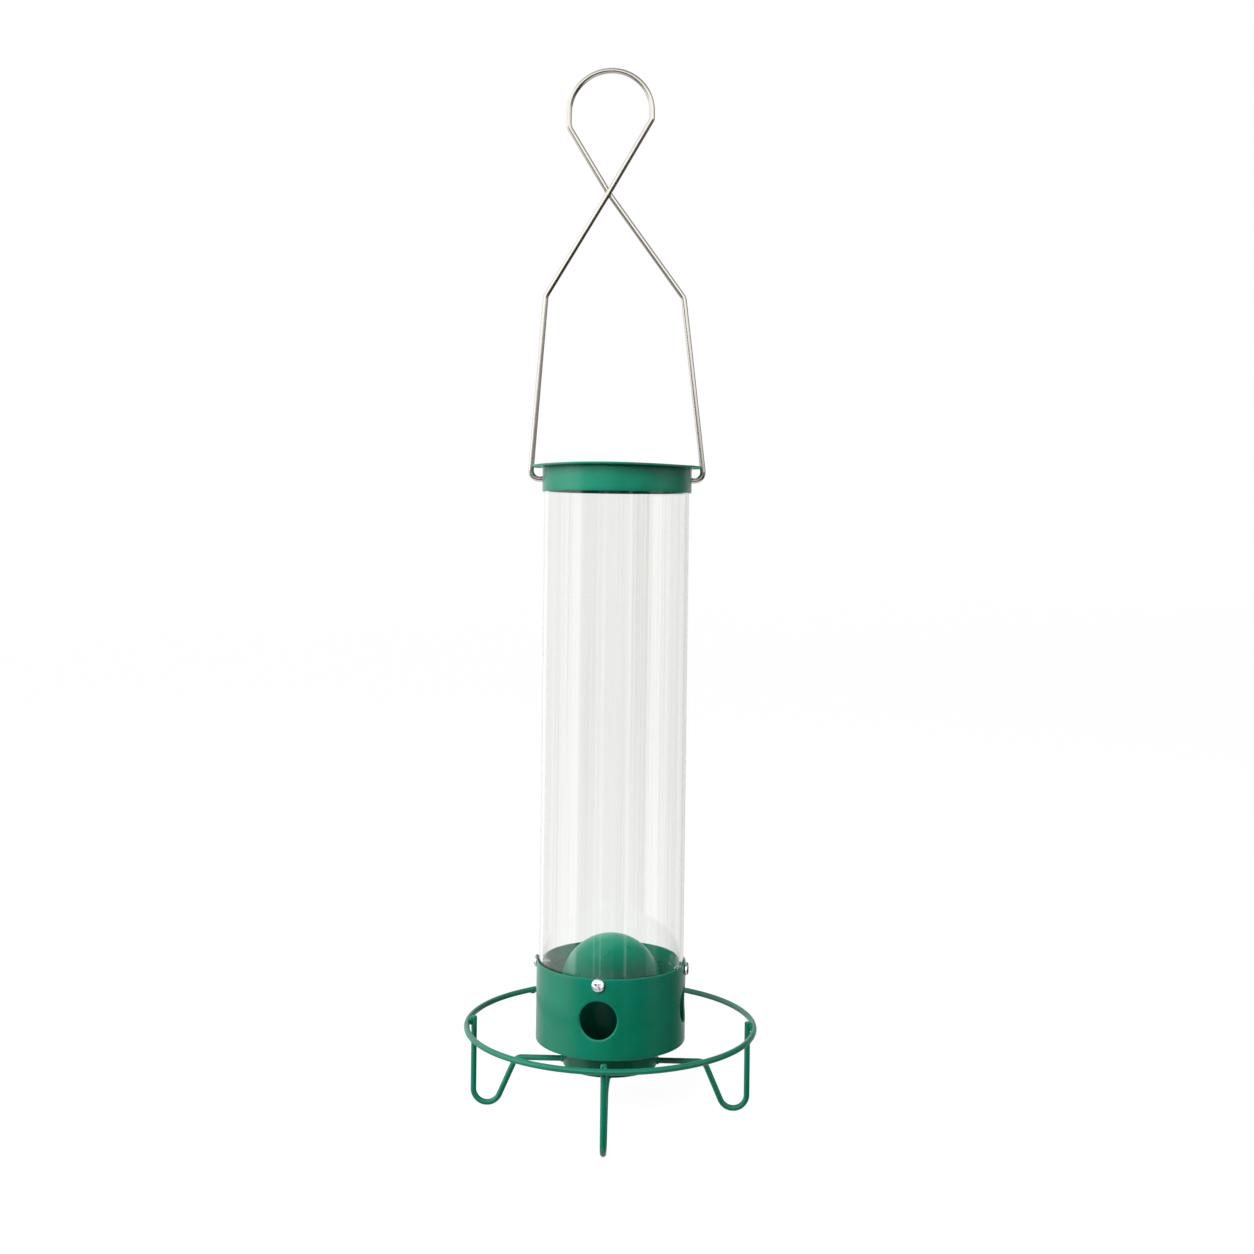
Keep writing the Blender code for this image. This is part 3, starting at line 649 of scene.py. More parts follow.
def plate(outline, holes, thickness, step, clear, rim):
    """Flat plate in small triangles, in a bmesh, from its upper face at zero down. Triangles are
    a step wide and high, and start clear of the edges. An edge is rounded to what rim gives for
    its middle."""
    places, edges = [], []
    for loop in (outline, *holes):
        start = len(places)
        places += loop
        edges += [(start + number, start + (number + 1) % len(loop))
                  for number in range(len(loop))]
    edge_places = np.array(places)
    low, high = edge_places.min(axis=0), edge_places.max(axis=0)
    counts = [max(2, round(size / pitch)) for size, pitch in zip(high - low, step)]
    lines = [np.linspace(first, last, count + 1) for first, last, count in zip(low, high, counts)]
    lattice = np.stack(np.meshgrid(*lines), axis=-1).reshape(-1, 2)
    lattice = lattice[in_sheet(outline, holes, lattice)]
    distance = np.stack([np.hypot(*(lattice - place).T) for place in edge_places]).min(axis=0)
    places += [tuple(place) for place in lattice[distance > clear]]
    flat = geometry.delaunay_2d_cdt([Vector(place) for place in places], edges, [], 0, TINY / 10)
    points = np.array([tuple(place) for place in flat[0]])
    middles = np.array([points[list(face)].mean(axis=0) for face in flat[2]])
    shape = bmesh.new()
    corners = [shape.verts.new((*place, 0)) for place in points]
    for face, wanted in zip(flat[2], in_sheet(outline, holes, middles)):
        if wanted:
            shape.faces.new([corners[corner] for corner in face])
    lone = [corner for corner in corners if not corner.link_faces]
    bmesh.ops.delete(shape, geom=lone, context='VERTS')
    made = bmesh.ops.extrude_face_region(shape, geom=shape.faces[:], use_keep_orig=True)["geom"]
    lower = [item for item in made if isinstance(item, bmesh.types.BMVert)]
    bmesh.ops.translate(shape, vec=(0, 0, -thickness), verts=lower)
    bmesh.ops.recalc_face_normals(shape, faces=shape.faces)
    rounded = {}
    for edge in filter(on_rim, shape.edges):
        rounded.setdefault(rim((edge.verts[0].co + edge.verts[1].co) / 2), []).append(edge)
    for radius in sorted(filter(None, rounded), reverse=True):
        bmesh.ops.bevel(shape, geom=rounded[radius], offset=radius, segments=BEVEL_STEPS,
                        profile=0.5, affect='EDGES', clamp_overlap=True)
    return shape


def wrapped(shape, radius, base, turn):
    """Bend a flat plate, whose X runs once round, into a band of an outer radius."""
    ends = (0, math.tau * radius)
    seam = [face for face in shape.faces
            if any(all(abs(corner.co.x - end) < TINY for corner in face.verts) for end in ends)]
    bmesh.ops.delete(shape, geom=seam, context='FACES')
    for corner in shape.verts:
        azimuth = turn + corner.co.x / radius
        reach = radius + corner.co.z
        corner.co = (reach * math.cos(azimuth), reach * math.sin(azimuth), base + corner.co.y)
    bmesh.ops.remove_doubles(shape, verts=shape.verts, dist=TINY * 10 / 3)
    return shape


def drilled_loop(radius, azimuth, turn, hole, height, sides=HOLE_SIDES):
    """Loop of a round hole drilled square into a band, laid flat."""
    middle = ((azimuth - turn) % math.tau) * radius
    loop = []
    for side in range(sides):
        around = math.tau * side / sides
        loop.append((middle + radius * math.asin(hole / radius * math.cos(around)),
                     height + hole * math.sin(around)))
    return loop


def bead(name, place, size, along, carrier, seed=0):
    """Small weld bead: a lump with its first size along a direction, under the same coat."""
    shape = bmesh.new()
    bmesh.ops.create_icosphere(shape, subdivisions=4, radius=1)
    turn = Vector(along).to_track_quat('X', 'Z').to_matrix()
    for point in shape.verts:
        swell = 1
        for (much, closely), start in zip(BEAD_LUMPS, ((seed, 0, 0), (0, seed, 0))):
            swell += much * noise.noise(point.co * closely + Vector(start))
        point.co = turn @ Vector([axis * part * swell for axis, part in zip(point.co, size)])
        point.co += Vector(place)
    return add_piece(name, to_mesh(name, shape), "green_coat", carrier, stands_for=False)


def cut(piece_mesh, cutters, name):
    """The mesh with closed cutter meshes taken out of it."""
    part = bpy.data.objects.new(name, piece_mesh)
    bpy.context.scene.collection.objects.link(part)
    made = []
    for number, cutter_mesh in enumerate(cutters):
        cutter = bpy.data.objects.new(f"{name}_cutter_{number}", cutter_mesh)
        bpy.context.scene.collection.objects.link(cutter)
        boolean = part.modifiers.new(cutter.name, 'BOOLEAN')
        boolean.operation = 'DIFFERENCE'
        boolean.solver = 'EXACT'
        boolean.object = cutter
        made.append(cutter)
    bpy.context.view_layer.update()
    evaluated = part.evaluated_get(bpy.context.evaluated_depsgraph_get())
    mesh = bpy.data.meshes.new_from_object(evaluated)
    for used in (part, *made):
        bpy.data.objects.remove(used, do_unlink=True)
    return mesh


def apex(node):
    """The point of a node that lies farthest from the feeder's axis."""
    points = frame["nodes"][node].data.vertices
    return max((point.co for point in points), key=lambda place: place.xy.length).copy()


def screw_places():
    """Azimuth, outer radius and height of each housing screw."""
    tips = [apex(f"housing_screw_{number}") for number in range(1, LEGS + 1)]
    return [(math.atan2(tip.y, tip.x), tip.xy.length, tip.z) for tip in tips]


def band(name, node, thickness, holes, notches, rim, rows, edge_clear, slot, turn, more=0):
    """Sheet bent into a band in a node's place, with holes, with notches in its lower edge, and
    a little more height where it is joined. Its triangles are a row high and start clear of the
    edges."""
    low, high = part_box(node)
    radius, height = high.x, high.z - low.z + more
    around = math.tau * radius
    outline = [(0, 0)]
    for notch in notches:
        outline += notch
    outline += [(around, 0), (around, height), (0, height)]
    step = around / TURNED_SIDES
    shape = plate(divided(outline, step), holes, thickness, (step, rows), edge_clear, rim)
    return add_piece(name, to_mesh(name, wrapped(shape, radius, low.z, turn)), slot, node)


class FeederOperator:
    """What every operator of the feeder shares."""
    bl_options = {'REGISTER', 'UNDO'}

    def execute(self, context):
        """Make the operator's pieces."""
        self.make(context)
        return {'FINISHED'}


class FEEDER_OT_tube(FeederOperator, Operator):
    """Make the clear tube, drilled for the screws and the bail"""
    bl_idname = "feeder.tube"
    bl_label = "Clear tube"

    def make(self, context):
        fittings = settings().fittings
        low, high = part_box("tube")
        screws = [(azimuth, fittings.screw / 2 + GAP, height - low.z)
                  for azimuth, reach, height in screw_places()]
        bail_height = pivot_of("bail_swing").z - low.z
        ends = [(azimuth, bail_wire_radius() + GAP, bail_height) for azimuth in (0, math.pi)]
        holes = [drilled_loop(high.x, azimuth, BAND_SEAM, hole, height)
                 for azimuth, hole, height in screws + ends]
        tube = band("clear_tube", "tube", fittings.tube_wall, holes, [],
                    lambda middle: seamless(middle, high.x, fittings.tube_edge),
                    rows=0.008, edge_clear=0.0006, slot="clear_tube", turn=BAND_SEAM)
        # Clear plastic lets the lamps' light through, so it casts no shadow of its own.
        tube.visible_shadow = False
        tube.visible_diffuse = False


def seamless(middle, radius, edge):
    """Rounding of a band's edge, with none at the seam where its two ends meet."""
    at_seam = min(middle.x, math.tau * radius - middle.x) < TINY
    return 0 if at_seam else edge


def pivot_of(joint):
    """Place of a joint's axis."""
    return Vector(next(item["pos_m"] for item in frame["joints"] if item["name"] == joint))


def bail_wire_radius():
    """Radius of the bail's wire, from how far its node reaches below the joint's axis."""
    lowest = min(point.co.z for point in frame["nodes"]["bail"].data.vertices)
    return pivot_of("bail_swing").z - lowest


class FEEDER_OT_housing(FeederOperator, Operator):
    """Make the housing's band with its ports, the pan that closes it and the dome inside"""
    bl_idname = "feeder.housing"
    bl_label = "Housing"

    def make(self, context):
        metal = settings().sheet_metal
        low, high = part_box("housing_band")
        radius = high.x
        ports = [(azimuth, metal.port / 2, metal.port_rise, PORT_SIDES)
                 for azimuth, *rest in screw_places()]
        screws = [(azimuth, settings().fittings.screw / 2 + GAP, height - low.z, HOLE_SIDES)
                  for azimuth, reach, height in screw_places()]
        centres = [((azimuth - BAND_SEAM) % math.tau * radius, height)
                   for azimuth, hole, height, sides in ports]

        def rim(middle):
            """Punched radius on the outside of a port, and the coated edge elsewhere."""
            near = any(math.hypot(middle.x - x, middle.y - y) < metal.port / 2 + GAP * 2
                       for x, y in centres)
            if near and middle.z > -metal.sheet / 2:
                return metal.port_rim
            return seamless(middle, radius, metal.edge / 4 if near else metal.edge)

        holes = [drilled_loop(radius, azimuth, BAND_SEAM, *hole)
                 for azimuth, *hole in ports + screws]
        band("housing_shell", "housing_band", metal.sheet, holes, [], rim,
             rows=0.0016, edge_clear=0.0011, slot="green_coat", turn=BAND_SEAM)
        self.make_pan(metal)
        self.make_dome(metal)

    def make_pan(self, metal):
        """Pressed pan with its drain holes."""
        low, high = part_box("housing_floor")
        outer, top, sheet, edge = high.x, metal.floor_lip, metal.sheet, metal.edge
        bore = settings().fittings.bolt / 2 + GAP
        profile = flat_profile([(outer, top, edge), (outer, 0, metal.press), (bore, 0, 0),
                                (bore, sheet, 0), (outer - sheet, sheet, metal.press - sheet),
                                (outer - sheet, top, edge)])
        dome_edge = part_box("seed_baffle")[1].x
        circle = (dome_edge + outer - sheet) / 2
        drains = []
        for number in range(DRAINS):
            azimuth = math.tau * number / DRAINS
            cutter = lathe("drain", [Vector(place) for place in (
                (0, 0, sheet * 3), (metal.drain / 2, 0, sheet * 3),
                (metal.drain / 2, 0, -sheet * 2), (0, 0, -sheet * 2))], DRAIN_SIDES)
            cutter.transform(Matrix.Translation((circle * math.cos(azimuth),
                                                 circle * math.sin(azimuth), 0)))
            drains.append(cutter)
        pan = cut(lathe("housing_pan", profile, TURNED_SIDES), drains, "housing_pan")
        pan.transform(Matrix.Translation((0, 0, low.z)))
        add_piece("housing_pan", pan, "green_coat", "housing_floor")

    def make_dome(self, metal):
        """Domed baffle that sends the seed out to the ports."""
        low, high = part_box("seed_baffle")
        outer, inner = high.x, high.x - metal.sheet
        profile = []
        for reach, numbers in ((outer, range(DOME_STEPS + 1)), (inner, range(DOME_STEPS, -1, -1))):
            for number in numbers:
                turn = math.pi / 2 * (1 - number / DOME_STEPS)
                profile.append(Vector((reach * math.cos(turn) if number else 0, 0,
                                       metal.dome_wall + reach * math.sin(turn))))
            if reach == outer:
                foot = bent([((outer, 0, metal.dome_wall), 0), ((outer, 0, 0), metal.edge),
                             ((inner, 0, 0), metal.edge), ((inner, 0, metal.dome_wall), 0)])
                profile += foot[1:-1]
        dome = lathe("seed_dome", profile, TURNED_SIDES)
        dome.transform(Matrix.Translation((0, 0, low.z)))
        add_piece("seed_dome", dome, "green_coat", "seed_baffle")


def across_corners(flats):
    """Radius of a hexagon's corners."""
    return flats / 2 / math.cos(math.pi / 6)


def hexagon(flats, chamfer, high):
    """Form of a hexagon whose corners are chamfered at both ends of its height."""
    def reach(radius, height, turn):
        """Radius of the hexagon at one place."""
        within = (turn + math.pi / 6) % (math.pi / 3) - math.pi / 6
        if radius < flats / 2:
            return radius
        inset = max(chamfer - (high - height), chamfer - height, 0)
        # The chamfer is 30 degrees steep, so its reach is 1.7 times its height.
        return min(flats / 2 / math.cos(within), across_corners(flats) - inset * 1.7)
    return reach


def ridge(height, turn, pitch, sharpness):
    """Height of a thread at one place, from nothing to one at its crest. A sharpness over one
    leaves a flat root between the crests."""
    phase = (height / pitch - turn / math.tau) % 1
    return max(0, 1 - abs(phase * 2 - 1) * sharpness)


def thread(core, crest, pitch, low, high):
    """Form of a bolt's thread between two heights, fading out over one pitch at each end."""
    def reach(radius, height, turn):
        """Radius of the thread at one place."""
        if radius < core or not low <= height <= high:
            return radius
        fade = min(1, (height - low) / pitch, (high - height) / pitch)
        return radius + (crest - core) * ridge(height, turn, pitch, 1.25) * fade
    return reach


def stepped(first, second, step):
    """Points of a straight line divided into steps, without its end."""
    first, second = Vector(first), Vector(second)
    parts = max(1, round((second - first).length / step))
    return [first.lerp(second, part / parts) for part in range(parts)]


class FEEDER_OT_screws(FeederOperator, Operator):
    """Make the four chromed tapping screws over the ports"""
    bl_idname = "feeder.screws"
    bl_label = "Housing screws"

    def make(self, context):
        fittings = settings().fittings
        head, side = fittings.screw_head / 2, fittings.screw_side
        crown = fittings.screw_height - side
        crest = fittings.screw / 2
        core = crest * CORE
        profile = []
        for number in range(CROWN_STEPS + 1):
            turn = math.pi / 2 * number / CROWN_STEPS
            profile.append(Vector((head * math.sin(turn), 0, side + crown * math.cos(turn))))
        profile += bent([((head, 0, side), 0), ((head, 0, 0), side / 3), ((core, 0, 0), 0)])[1:-1]
        tip = -fittings.screw_length
        shoulder = tip + fittings.screw_point
        step = fittings.screw_pitch / 10
        profile += stepped((core, 0, 0), (core, 0, shoulder), step)
        profile += stepped((core, 0, shoulder), (0, 0, tip), step)
        profile.append(Vector((0, 0, tip)))

        def form(radius, height, turn):
            """Thread that dies away towards the point."""
            if height > -step or radius > core + TINY:
                return radius
            taper = min(1, max(0, (height - tip) / fittings.screw_point))
            start = min(1, -height / fittings.screw_pitch)
            return radius + (crest - core) * ridge(height, turn, fittings.screw_pitch,
                                                   1.5) * taper * start

        blank = lathe("screw", profile, FITTING_SIDES, form)
        mesh = cut(blank, [self.recess(fittings)], "screw")
        for number, (azimuth, reach, height) in enumerate(screw_places(), 1):
            seat = reach - fittings.screw_height
            # Each screw was driven home to a different turn.
            spin = math.radians(17 + 53 * number)
            matrix = (Matrix.Translation((seat * math.cos(azimuth), seat * math.sin(azimuth),
                                          height))
                      @ Matrix.Rotation(azimuth, 4, 'Z') @ Matrix.Rotation(math.pi / 2, 4, 'Y')
                      @ Matrix.Rotation(spin, 4, 'Z'))
            add_piece(f"chrome_screw_{number}", mesh.copy(), "screw_chrome",
                      f"housing_screw_{number}", matrix=matrix)

    def recess(self, fittings):
        """Cross recess that narrows to half its size and ends in a point, as a closed cutter."""
        arm, slot, depth = fittings.recess / 2, fittings.recess_slot / 2, fittings.recess_depth
        quarter = [(arm, -slot), (arm, slot), (slot, slot)]
        outline = []
        for turn in range(4):
            rotate = Matrix.Rotation(math.pi / 2 * turn, 2)
            outline += [rotate @ Vector(corner) for corner in quarter]
        shape = bmesh.new()
        over = depth / 4
        top = fittings.screw_height + over
        rings = []
        for size, height in ((1 + over / depth, top), (0.5, fittings.screw_height - depth * 0.72)):
            rings.append([shape.verts.new((*(corner * size), height)) for corner in outline])
        bridge(shape, *rings)
        for ring, height in zip(rings, (top, fittings.screw_height - depth)):
            bridge(shape, [shape.verts.new((0, 0, height))], ring)
        return to_mesh("recess", shape)


class FEEDER_OT_bearing(FeederOperator, Operator):
    """Make the bolt, the nut, the washers and the bush that the perch turns on"""
    bl_idname = "feeder.bearing"
    bl_label = "Perch bearing"

    def make(self, context):
        fittings = settings().fittings
        bore = fittings.bolt / 2 + GAP
        self.make_bolt(fittings)
        self.make_nut(fittings, bore)
        edge = GAP / 2
        self.ring("steel_washer", "head_washer", bore, edge, "zinc_steel")
        thrust_bore = bore + fittings.bush_wall + GAP
        self.ring("nylon_thrust_washer", "thrust_washer", thrust_bore, edge, "nylon")
        low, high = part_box("pivot_bush")
        height, flange, sleeve = high.z - low.z, high.x, bore + fittings.bush_wall
        profile = flat_profile([(sleeve, height, edge), (sleeve, fittings.bush_flange, edge),
                                (flange, fittings.bush_flange, edge), (flange, 0, edge),
                                (bore, 0, edge), (bore, height, edge)])
        self.place("nylon_bush", lathe("nylon_bush", profile, FITTING_SIDES), "nylon",
                   "pivot_bush", low.z)

    def place(self, name, mesh, slot, node, height):
        """Put a mesh that was turned from zero up at its height."""
        mesh.transform(Matrix.Translation((0, 0, height)))
        add_piece(name, mesh, slot, node)

    def ring(self, name, node, bore, edge, slot):
        """Plain washer in a node's place."""
        low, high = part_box(node)
        height = high.z - low.z
        profile = flat_profile([(high.x, height, edge), (high.x, 0, edge), (bore, 0, edge),
                                (bore, height, edge)])
        self.place(name, lathe(name, profile, FITTING_SIDES), slot, node, low.z)

    def make_bolt(self, fittings):
        """Hex bolt with its head down and its thread in the nut."""
        low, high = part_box("pivot_bolt")
        flats, tip = high.y - low.y, high.z - low.z
        head, pitch, crest = fittings.bolt_head, fittings.bolt_pitch, fittings.bolt / 2
        core = crest - pitch * 0.6
        corner = across_corners(flats)
        # The thread starts a little above the middle of the bolt.
        start = tip * 0.55
        profile = [Vector((0, 0, 0)), Vector((flats * FACE, 0, 0)), Vector((corner, 0, 0))]
        profile += stepped((corner, 0, 0), (corner, 0, head), head / 12)[1:]
        profile += [Vector((corner, 0, head)), Vector((crest, 0, head))]
        profile += stepped((crest, 0, head), (crest, 0, start), head)[1:]
        profile += stepped((core, 0, start), (core, 0, tip), pitch / 8)
        profile += [Vector((core * 0.8, 0, tip)), Vector((0, 0, tip))]
        hexed = hexagon(flats, pitch * HEX_CHAMFER, head)
        threaded = thread(core, crest, pitch, start, tip)

        def form(radius, height, turn):
            """Hexagon at the head and thread near the tip."""
            return hexed(radius, height, turn) if height <= head else threaded(radius, height, turn)

        self.place("pivot_screw", lathe("pivot_screw", profile, FITTING_SIDES, form), "zinc_steel",
                   "pivot_bolt", low.z)

    def make_nut(self, fittings, bore):
        """Hex nut under the top of the dome."""
        low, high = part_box("baffle_nut")
        flats, height = high.y - low.y, high.z - low.z
        corner = across_corners(flats)
        profile = [Vector((bore, 0, 0)), Vector((flats * FACE, 0, 0)), Vector((corner, 0, 0))]
        profile += stepped((corner, 0, 0), (corner, 0, height), height / 14)[1:]
        profile += [Vector((corner, 0, height)), Vector((flats * FACE, 0, height)),
                    Vector((bore, 0, height))]
        form = hexagon(flats, fittings.bolt_pitch * HEX_CHAMFER, height)
        self.place("dome_nut", lathe("dome_nut", profile, FITTING_SIDES, form), "zinc_steel",
                   "baffle_nut", low.z)


class FEEDER_OT_perch(FeederOperator, Operator):
    """Make the perch: its hub, its ring, its four legs and their welds"""
    bl_idname = "feeder.perch"
    bl_label = "Perch"

    def make(self, context):
        wires, metal = settings().wires, settings().sheet_metal
        ring_low, ring_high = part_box("perch_ring")
        hub_low, hub_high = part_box("perch_hub")
        self.wire = (ring_high.z - ring_low.z) / 2
        self.ring_radius = ring_high.x - self.wire
        self.ring_height = (ring_high.z + ring_low.z) / 2
        self.hub_radius = hub_high.x
        self.arm_height = hub_low.z + self.wire
        self.make_hub(metal, hub_low.z, hub_high.z)
        self.make_ring(wires)
        self.make_legs(wires)

    def make_hub(self, metal, base, top):
        """Pressed cup, open below."""
        height, outer, sheet, edge = top - base, self.hub_radius, metal.sheet, metal.edge
        fittings = settings().fittings
        bore = fittings.bolt / 2 + fittings.bush_wall + GAP * 2
        profile = flat_profile([(bore, height, 0), (outer, height, metal.press), (outer, 0, edge),
                                (outer - sheet, 0, edge),
                                (outer - sheet, height - sheet, metal.press - sheet),
                                (bore, height - sheet, 0)])
        cup = lathe("perch_cup", profile, TURNED_SIDES)
        cup.transform(Matrix.Translation((0, 0, base)))
        add_piece("perch_cup", cup, "green_coat", "perch_hub")

    def make_ring(self, wires):
        """Wire ring, a little swollen and lumpy where its ends are welded together."""
        sides = TURNED_SIDES * 2
        stations = []
        for side in range(sides):
            turn = math.tau * side / sides
            away = (turn - wires.seam + math.pi) % math.tau - math.pi
            swell = 1 + SEAM_SWELL * math.exp(-(away * self.ring_radius / wires.weld) ** 2)
            place = Vector((math.cos(turn), math.sin(turn), 0)) * self.ring_radius
            stations.append((place + UP * self.ring_height, self.wire * swell))
        add_piece("perch_hoop", sweep("perch_hoop", stations, WIRE_SIDES, closed=True),
                  "green_coat", "perch_ring")
        out = Vector((math.cos(wires.seam), math.sin(wires.seam), 0))
        under = out * self.ring_radius + UP * (self.ring_height - self.wire * 0.8)
        thick = wires.weld * 0.62
        bead("ring_seam_bead", under, (wires.weld, thick, thick), UP.cross(out), "perch_ring",
             seed=9)

    def make_legs(self, wires):
        """Bent wire legs, welded to the hub and to the inside of the ring."""
        rod = self.ring_radius - self.wire * 2 - GAP
        # The bend at the foot leaves out the corner of its two runs, which lies below the floor.
        corner_drop = wires.foot_bend / math.tan(wires.leg_lean / 2)
        foot = wires.foot_bend + self.wire - wires.foot_flat - corner_drop
        knee = rod - (self.arm_height - foot) * math.tan(wires.leg_lean)
        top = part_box("leg_1")[1].z
        line = bent([((self.hub_radius + GAP, 0, self.arm_height), 0),
                     ((knee, 0, self.arm_height), wires.arm_bend),
                     ((rod, 0, foot), wires.foot_bend), ((rod, 0, top), 0)])
        stations = round_ends(line, self.wire, wires.perch_end)
        for number in range(LEGS):
            azimuth = wires.perch_turn + math.tau / LEGS * number
            mesh = sweep(f"perch_leg_{number + 1}", stations, WIRE_SIDES)
            for point in mesh.vertices:
                point.co.z = max(point.co.z, 0)
            mesh.transform(Matrix.Rotation(azimuth, 4, 'Z'))
            add_piece(f"perch_leg_{number + 1}", mesh, "green_coat", f"leg_{number + 1}")
            out = Vector((math.cos(azimuth), math.sin(azimuth), 0))
            meeting = out * (rod + self.wire + GAP / 2) + UP * self.ring_height
            root = out * (self.hub_radius + GAP) + UP * self.arm_height
            # A bead on each side of the leg, at the ring and at the hub: how far aside in radii
            # of the wire, and how large for the usual bead.
            for name, place, spread, size, node, seed in (
                    ("ring_weld", meeting, 0.62, (1.05, 0.5, 0.55), "perch_ring", 0),
                    ("hub_weld", root, 0.75, (0.95, 0.62, 0.62), "perch_hub", 20)):
                for letter, side in (("a", -1), ("b", 1)):
                    aside = UP.cross(out) * side * self.wire * spread
                    bead(f"{name}_{number + 1}_{letter}", place + aside,
                         [wires.weld * part for part in size], UP, node,
                         seed=seed + number * 2 + side)


class FEEDER_OT_lid(FeederOperator, Operator):
    """Make the lid: its notched brim and the slotted band under it"""
    bl_idname = "feeder.lid"
    bl_label = "Lid"

    def make(self, context):
        metal = settings().sheet_metal
        low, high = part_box("lid_plate")
        band_low, band_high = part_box("lid_band")
        radius, thickness = high.y, high.z - low.z
        start = band_high.x + metal.notch_land
        half = metal.notch / 2
        corner = math.asin(half / radius)
        outline = []
        steps = TURNED_SIDES // 2
        # Twice: half of the disc's edge, then the notch that follows it.
        for side in (0, math.pi):
            for step in range(steps + 1):
                turn = side + corner + (math.pi - corner * 2) * step / steps
                outline.append((radius * math.cos(turn), radius * math.sin(turn)))
            reach = radius * math.cos(corner)
            sign = -math.cos(side)
            notch = bent([((sign * reach, -sign * half, 0), 0),
                          ((sign * start, -sign * half, 0), metal.notch_corner),
                          ((sign * start, sign * half, 0), metal.notch_corner),
                          ((sign * reach, sign * half, 0), 0)])
            outline += [(point.x, point.y) for point in notch[1:-1]]
        grid = 0.003
        shape = plate(divided(outline, grid), [], thickness, (grid, grid), grid / 3,
                      lambda middle: metal.edge)
        for point in shape.verts:
            across = point.co.xy.length / radius
            turn = math.atan2(point.co.y, point.co.x)
            # Two slow waves round the brim, which grow towards its edge.
            bow = math.sin(turn * 3 + 0.6) + 0.6 * math.sin(turn * 2 - 1.1)
            rise = metal.brim_wave * bow * max(0, across - BOW_START) / (1 - BOW_START)
            point.co.z += high.z + rise
        add_piece("lid_brim", to_mesh("lid_brim", shape), "green_coat", "lid_plate")
        self.make_band(metal, band_low, band_high)

    def make_band(self, metal, low, high):
        """Band under the brim, slotted from below for the bail."""
        # The band's ends meet at the back, clear of both slots.
        turn = math.pi / 2
        radius = high.x
        rise = pivot_of("bail_swing").z - low.z
        half = bail_wire_radius() + GAP
        notches = []
        for azimuth in (math.pi, math.tau):
            middle = (azimuth - turn) * radius
            notch = [(middle - half, 0)]
            for step in range(CROWN_STEPS + 1):
                around = math.pi * step / CROWN_STEPS
                notch.append((middle - half * math.cos(around), rise + half * math.sin(around)))
            notches.append(notch + [(middle + half, 0)])
        band("lid_skirt", "lid_band", metal.sheet, [], notches,
             lambda middle: seamless(middle, radius, metal.edge),
             rows=0.002, edge_clear=0.0006, slot="green_coat", turn=turn, more=GAP * 1.5)


class FEEDER_OT_bail(FeederOperator, Operator):
    """Make the bail: one bent wire with a crossing and a hanging loop"""
    bl_idname = "feeder.bail"
    bl_label = "Bail"

    def make(self, context):
        wires = settings().wires
        radius = bail_wire_radius()
        axis = pivot_of("bail_swing").z
        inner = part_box("tube")[1].x - settings().fittings.tube_wall
        end = inner - wires.bail_reach
        beside = radius + GAP / 2
        loop, shoulder, span = wires.loop / 2, wires.shoulder_span / 2, wires.bail_span / 2
        # Above the shoulders the strands lean out to the front and the back, so that they pass
        # each other at the crossing and are farther apart at the loop.
        spread = (wires.loop_rise - wires.crossing_rise) / (wires.crossing_rise
                                                            - wires.shoulder_rise)
        aside = beside * (1 + spread)
        kink = Vector((wires.loop_shift + loop, -aside, wires.loop_rise - wires.kink_drop))
        corner = Vector((wires.loop_shift - loop, aside, wires.loop_rise - wires.corner_drop))
        rise = bent([((-end, 0, 0), 0), ((-span, 0, 0), wires.bail_bend),
                     ((wires.shoulder_shift - shoulder, 0, wires.shoulder_rise),
                      wires.shoulder_bend),
                     ((wires.crossing_shift, -beside, wires.crossing_rise), wires.crossing_bend),
                     (kink, wires.kink_bend), ((kink.x, -aside, wires.loop_rise), 0)])
        fall = bent([((corner.x, aside, wires.loop_rise), 0), (corner, wires.corner_bend),
                     ((wires.crossing_shift, beside, wires.crossing_rise), wires.crossing_bend),
                     ((wires.shoulder_shift + shoulder, 0, wires.shoulder_rise),
                      wires.shoulder_bend), ((span, 0, 0), wires.bail_bend), ((end, 0, 0), 0)])
        steps = round(math.pi / ARC_STEP)
        over = []
        for step in range(1, steps):
            turn = math.pi * step / steps
            over.append(Vector((wires.loop_shift + loop * math.cos(turn),
                                -aside * math.cos(turn),
                                wires.loop_rise + loop * math.sin(turn))))
        points = [point + UP * axis for point in rise + over + fall]
        stations = round_ends(points, radius, wires.bail_end)
        add_piece("bail_wire", sweep("bail_wire", stations, WIRE_SIDES), "wire_steel", "bail")


# Light of a full share in a ramp. No wall of the tent is brighter.
BRIGHTEST = 3.4
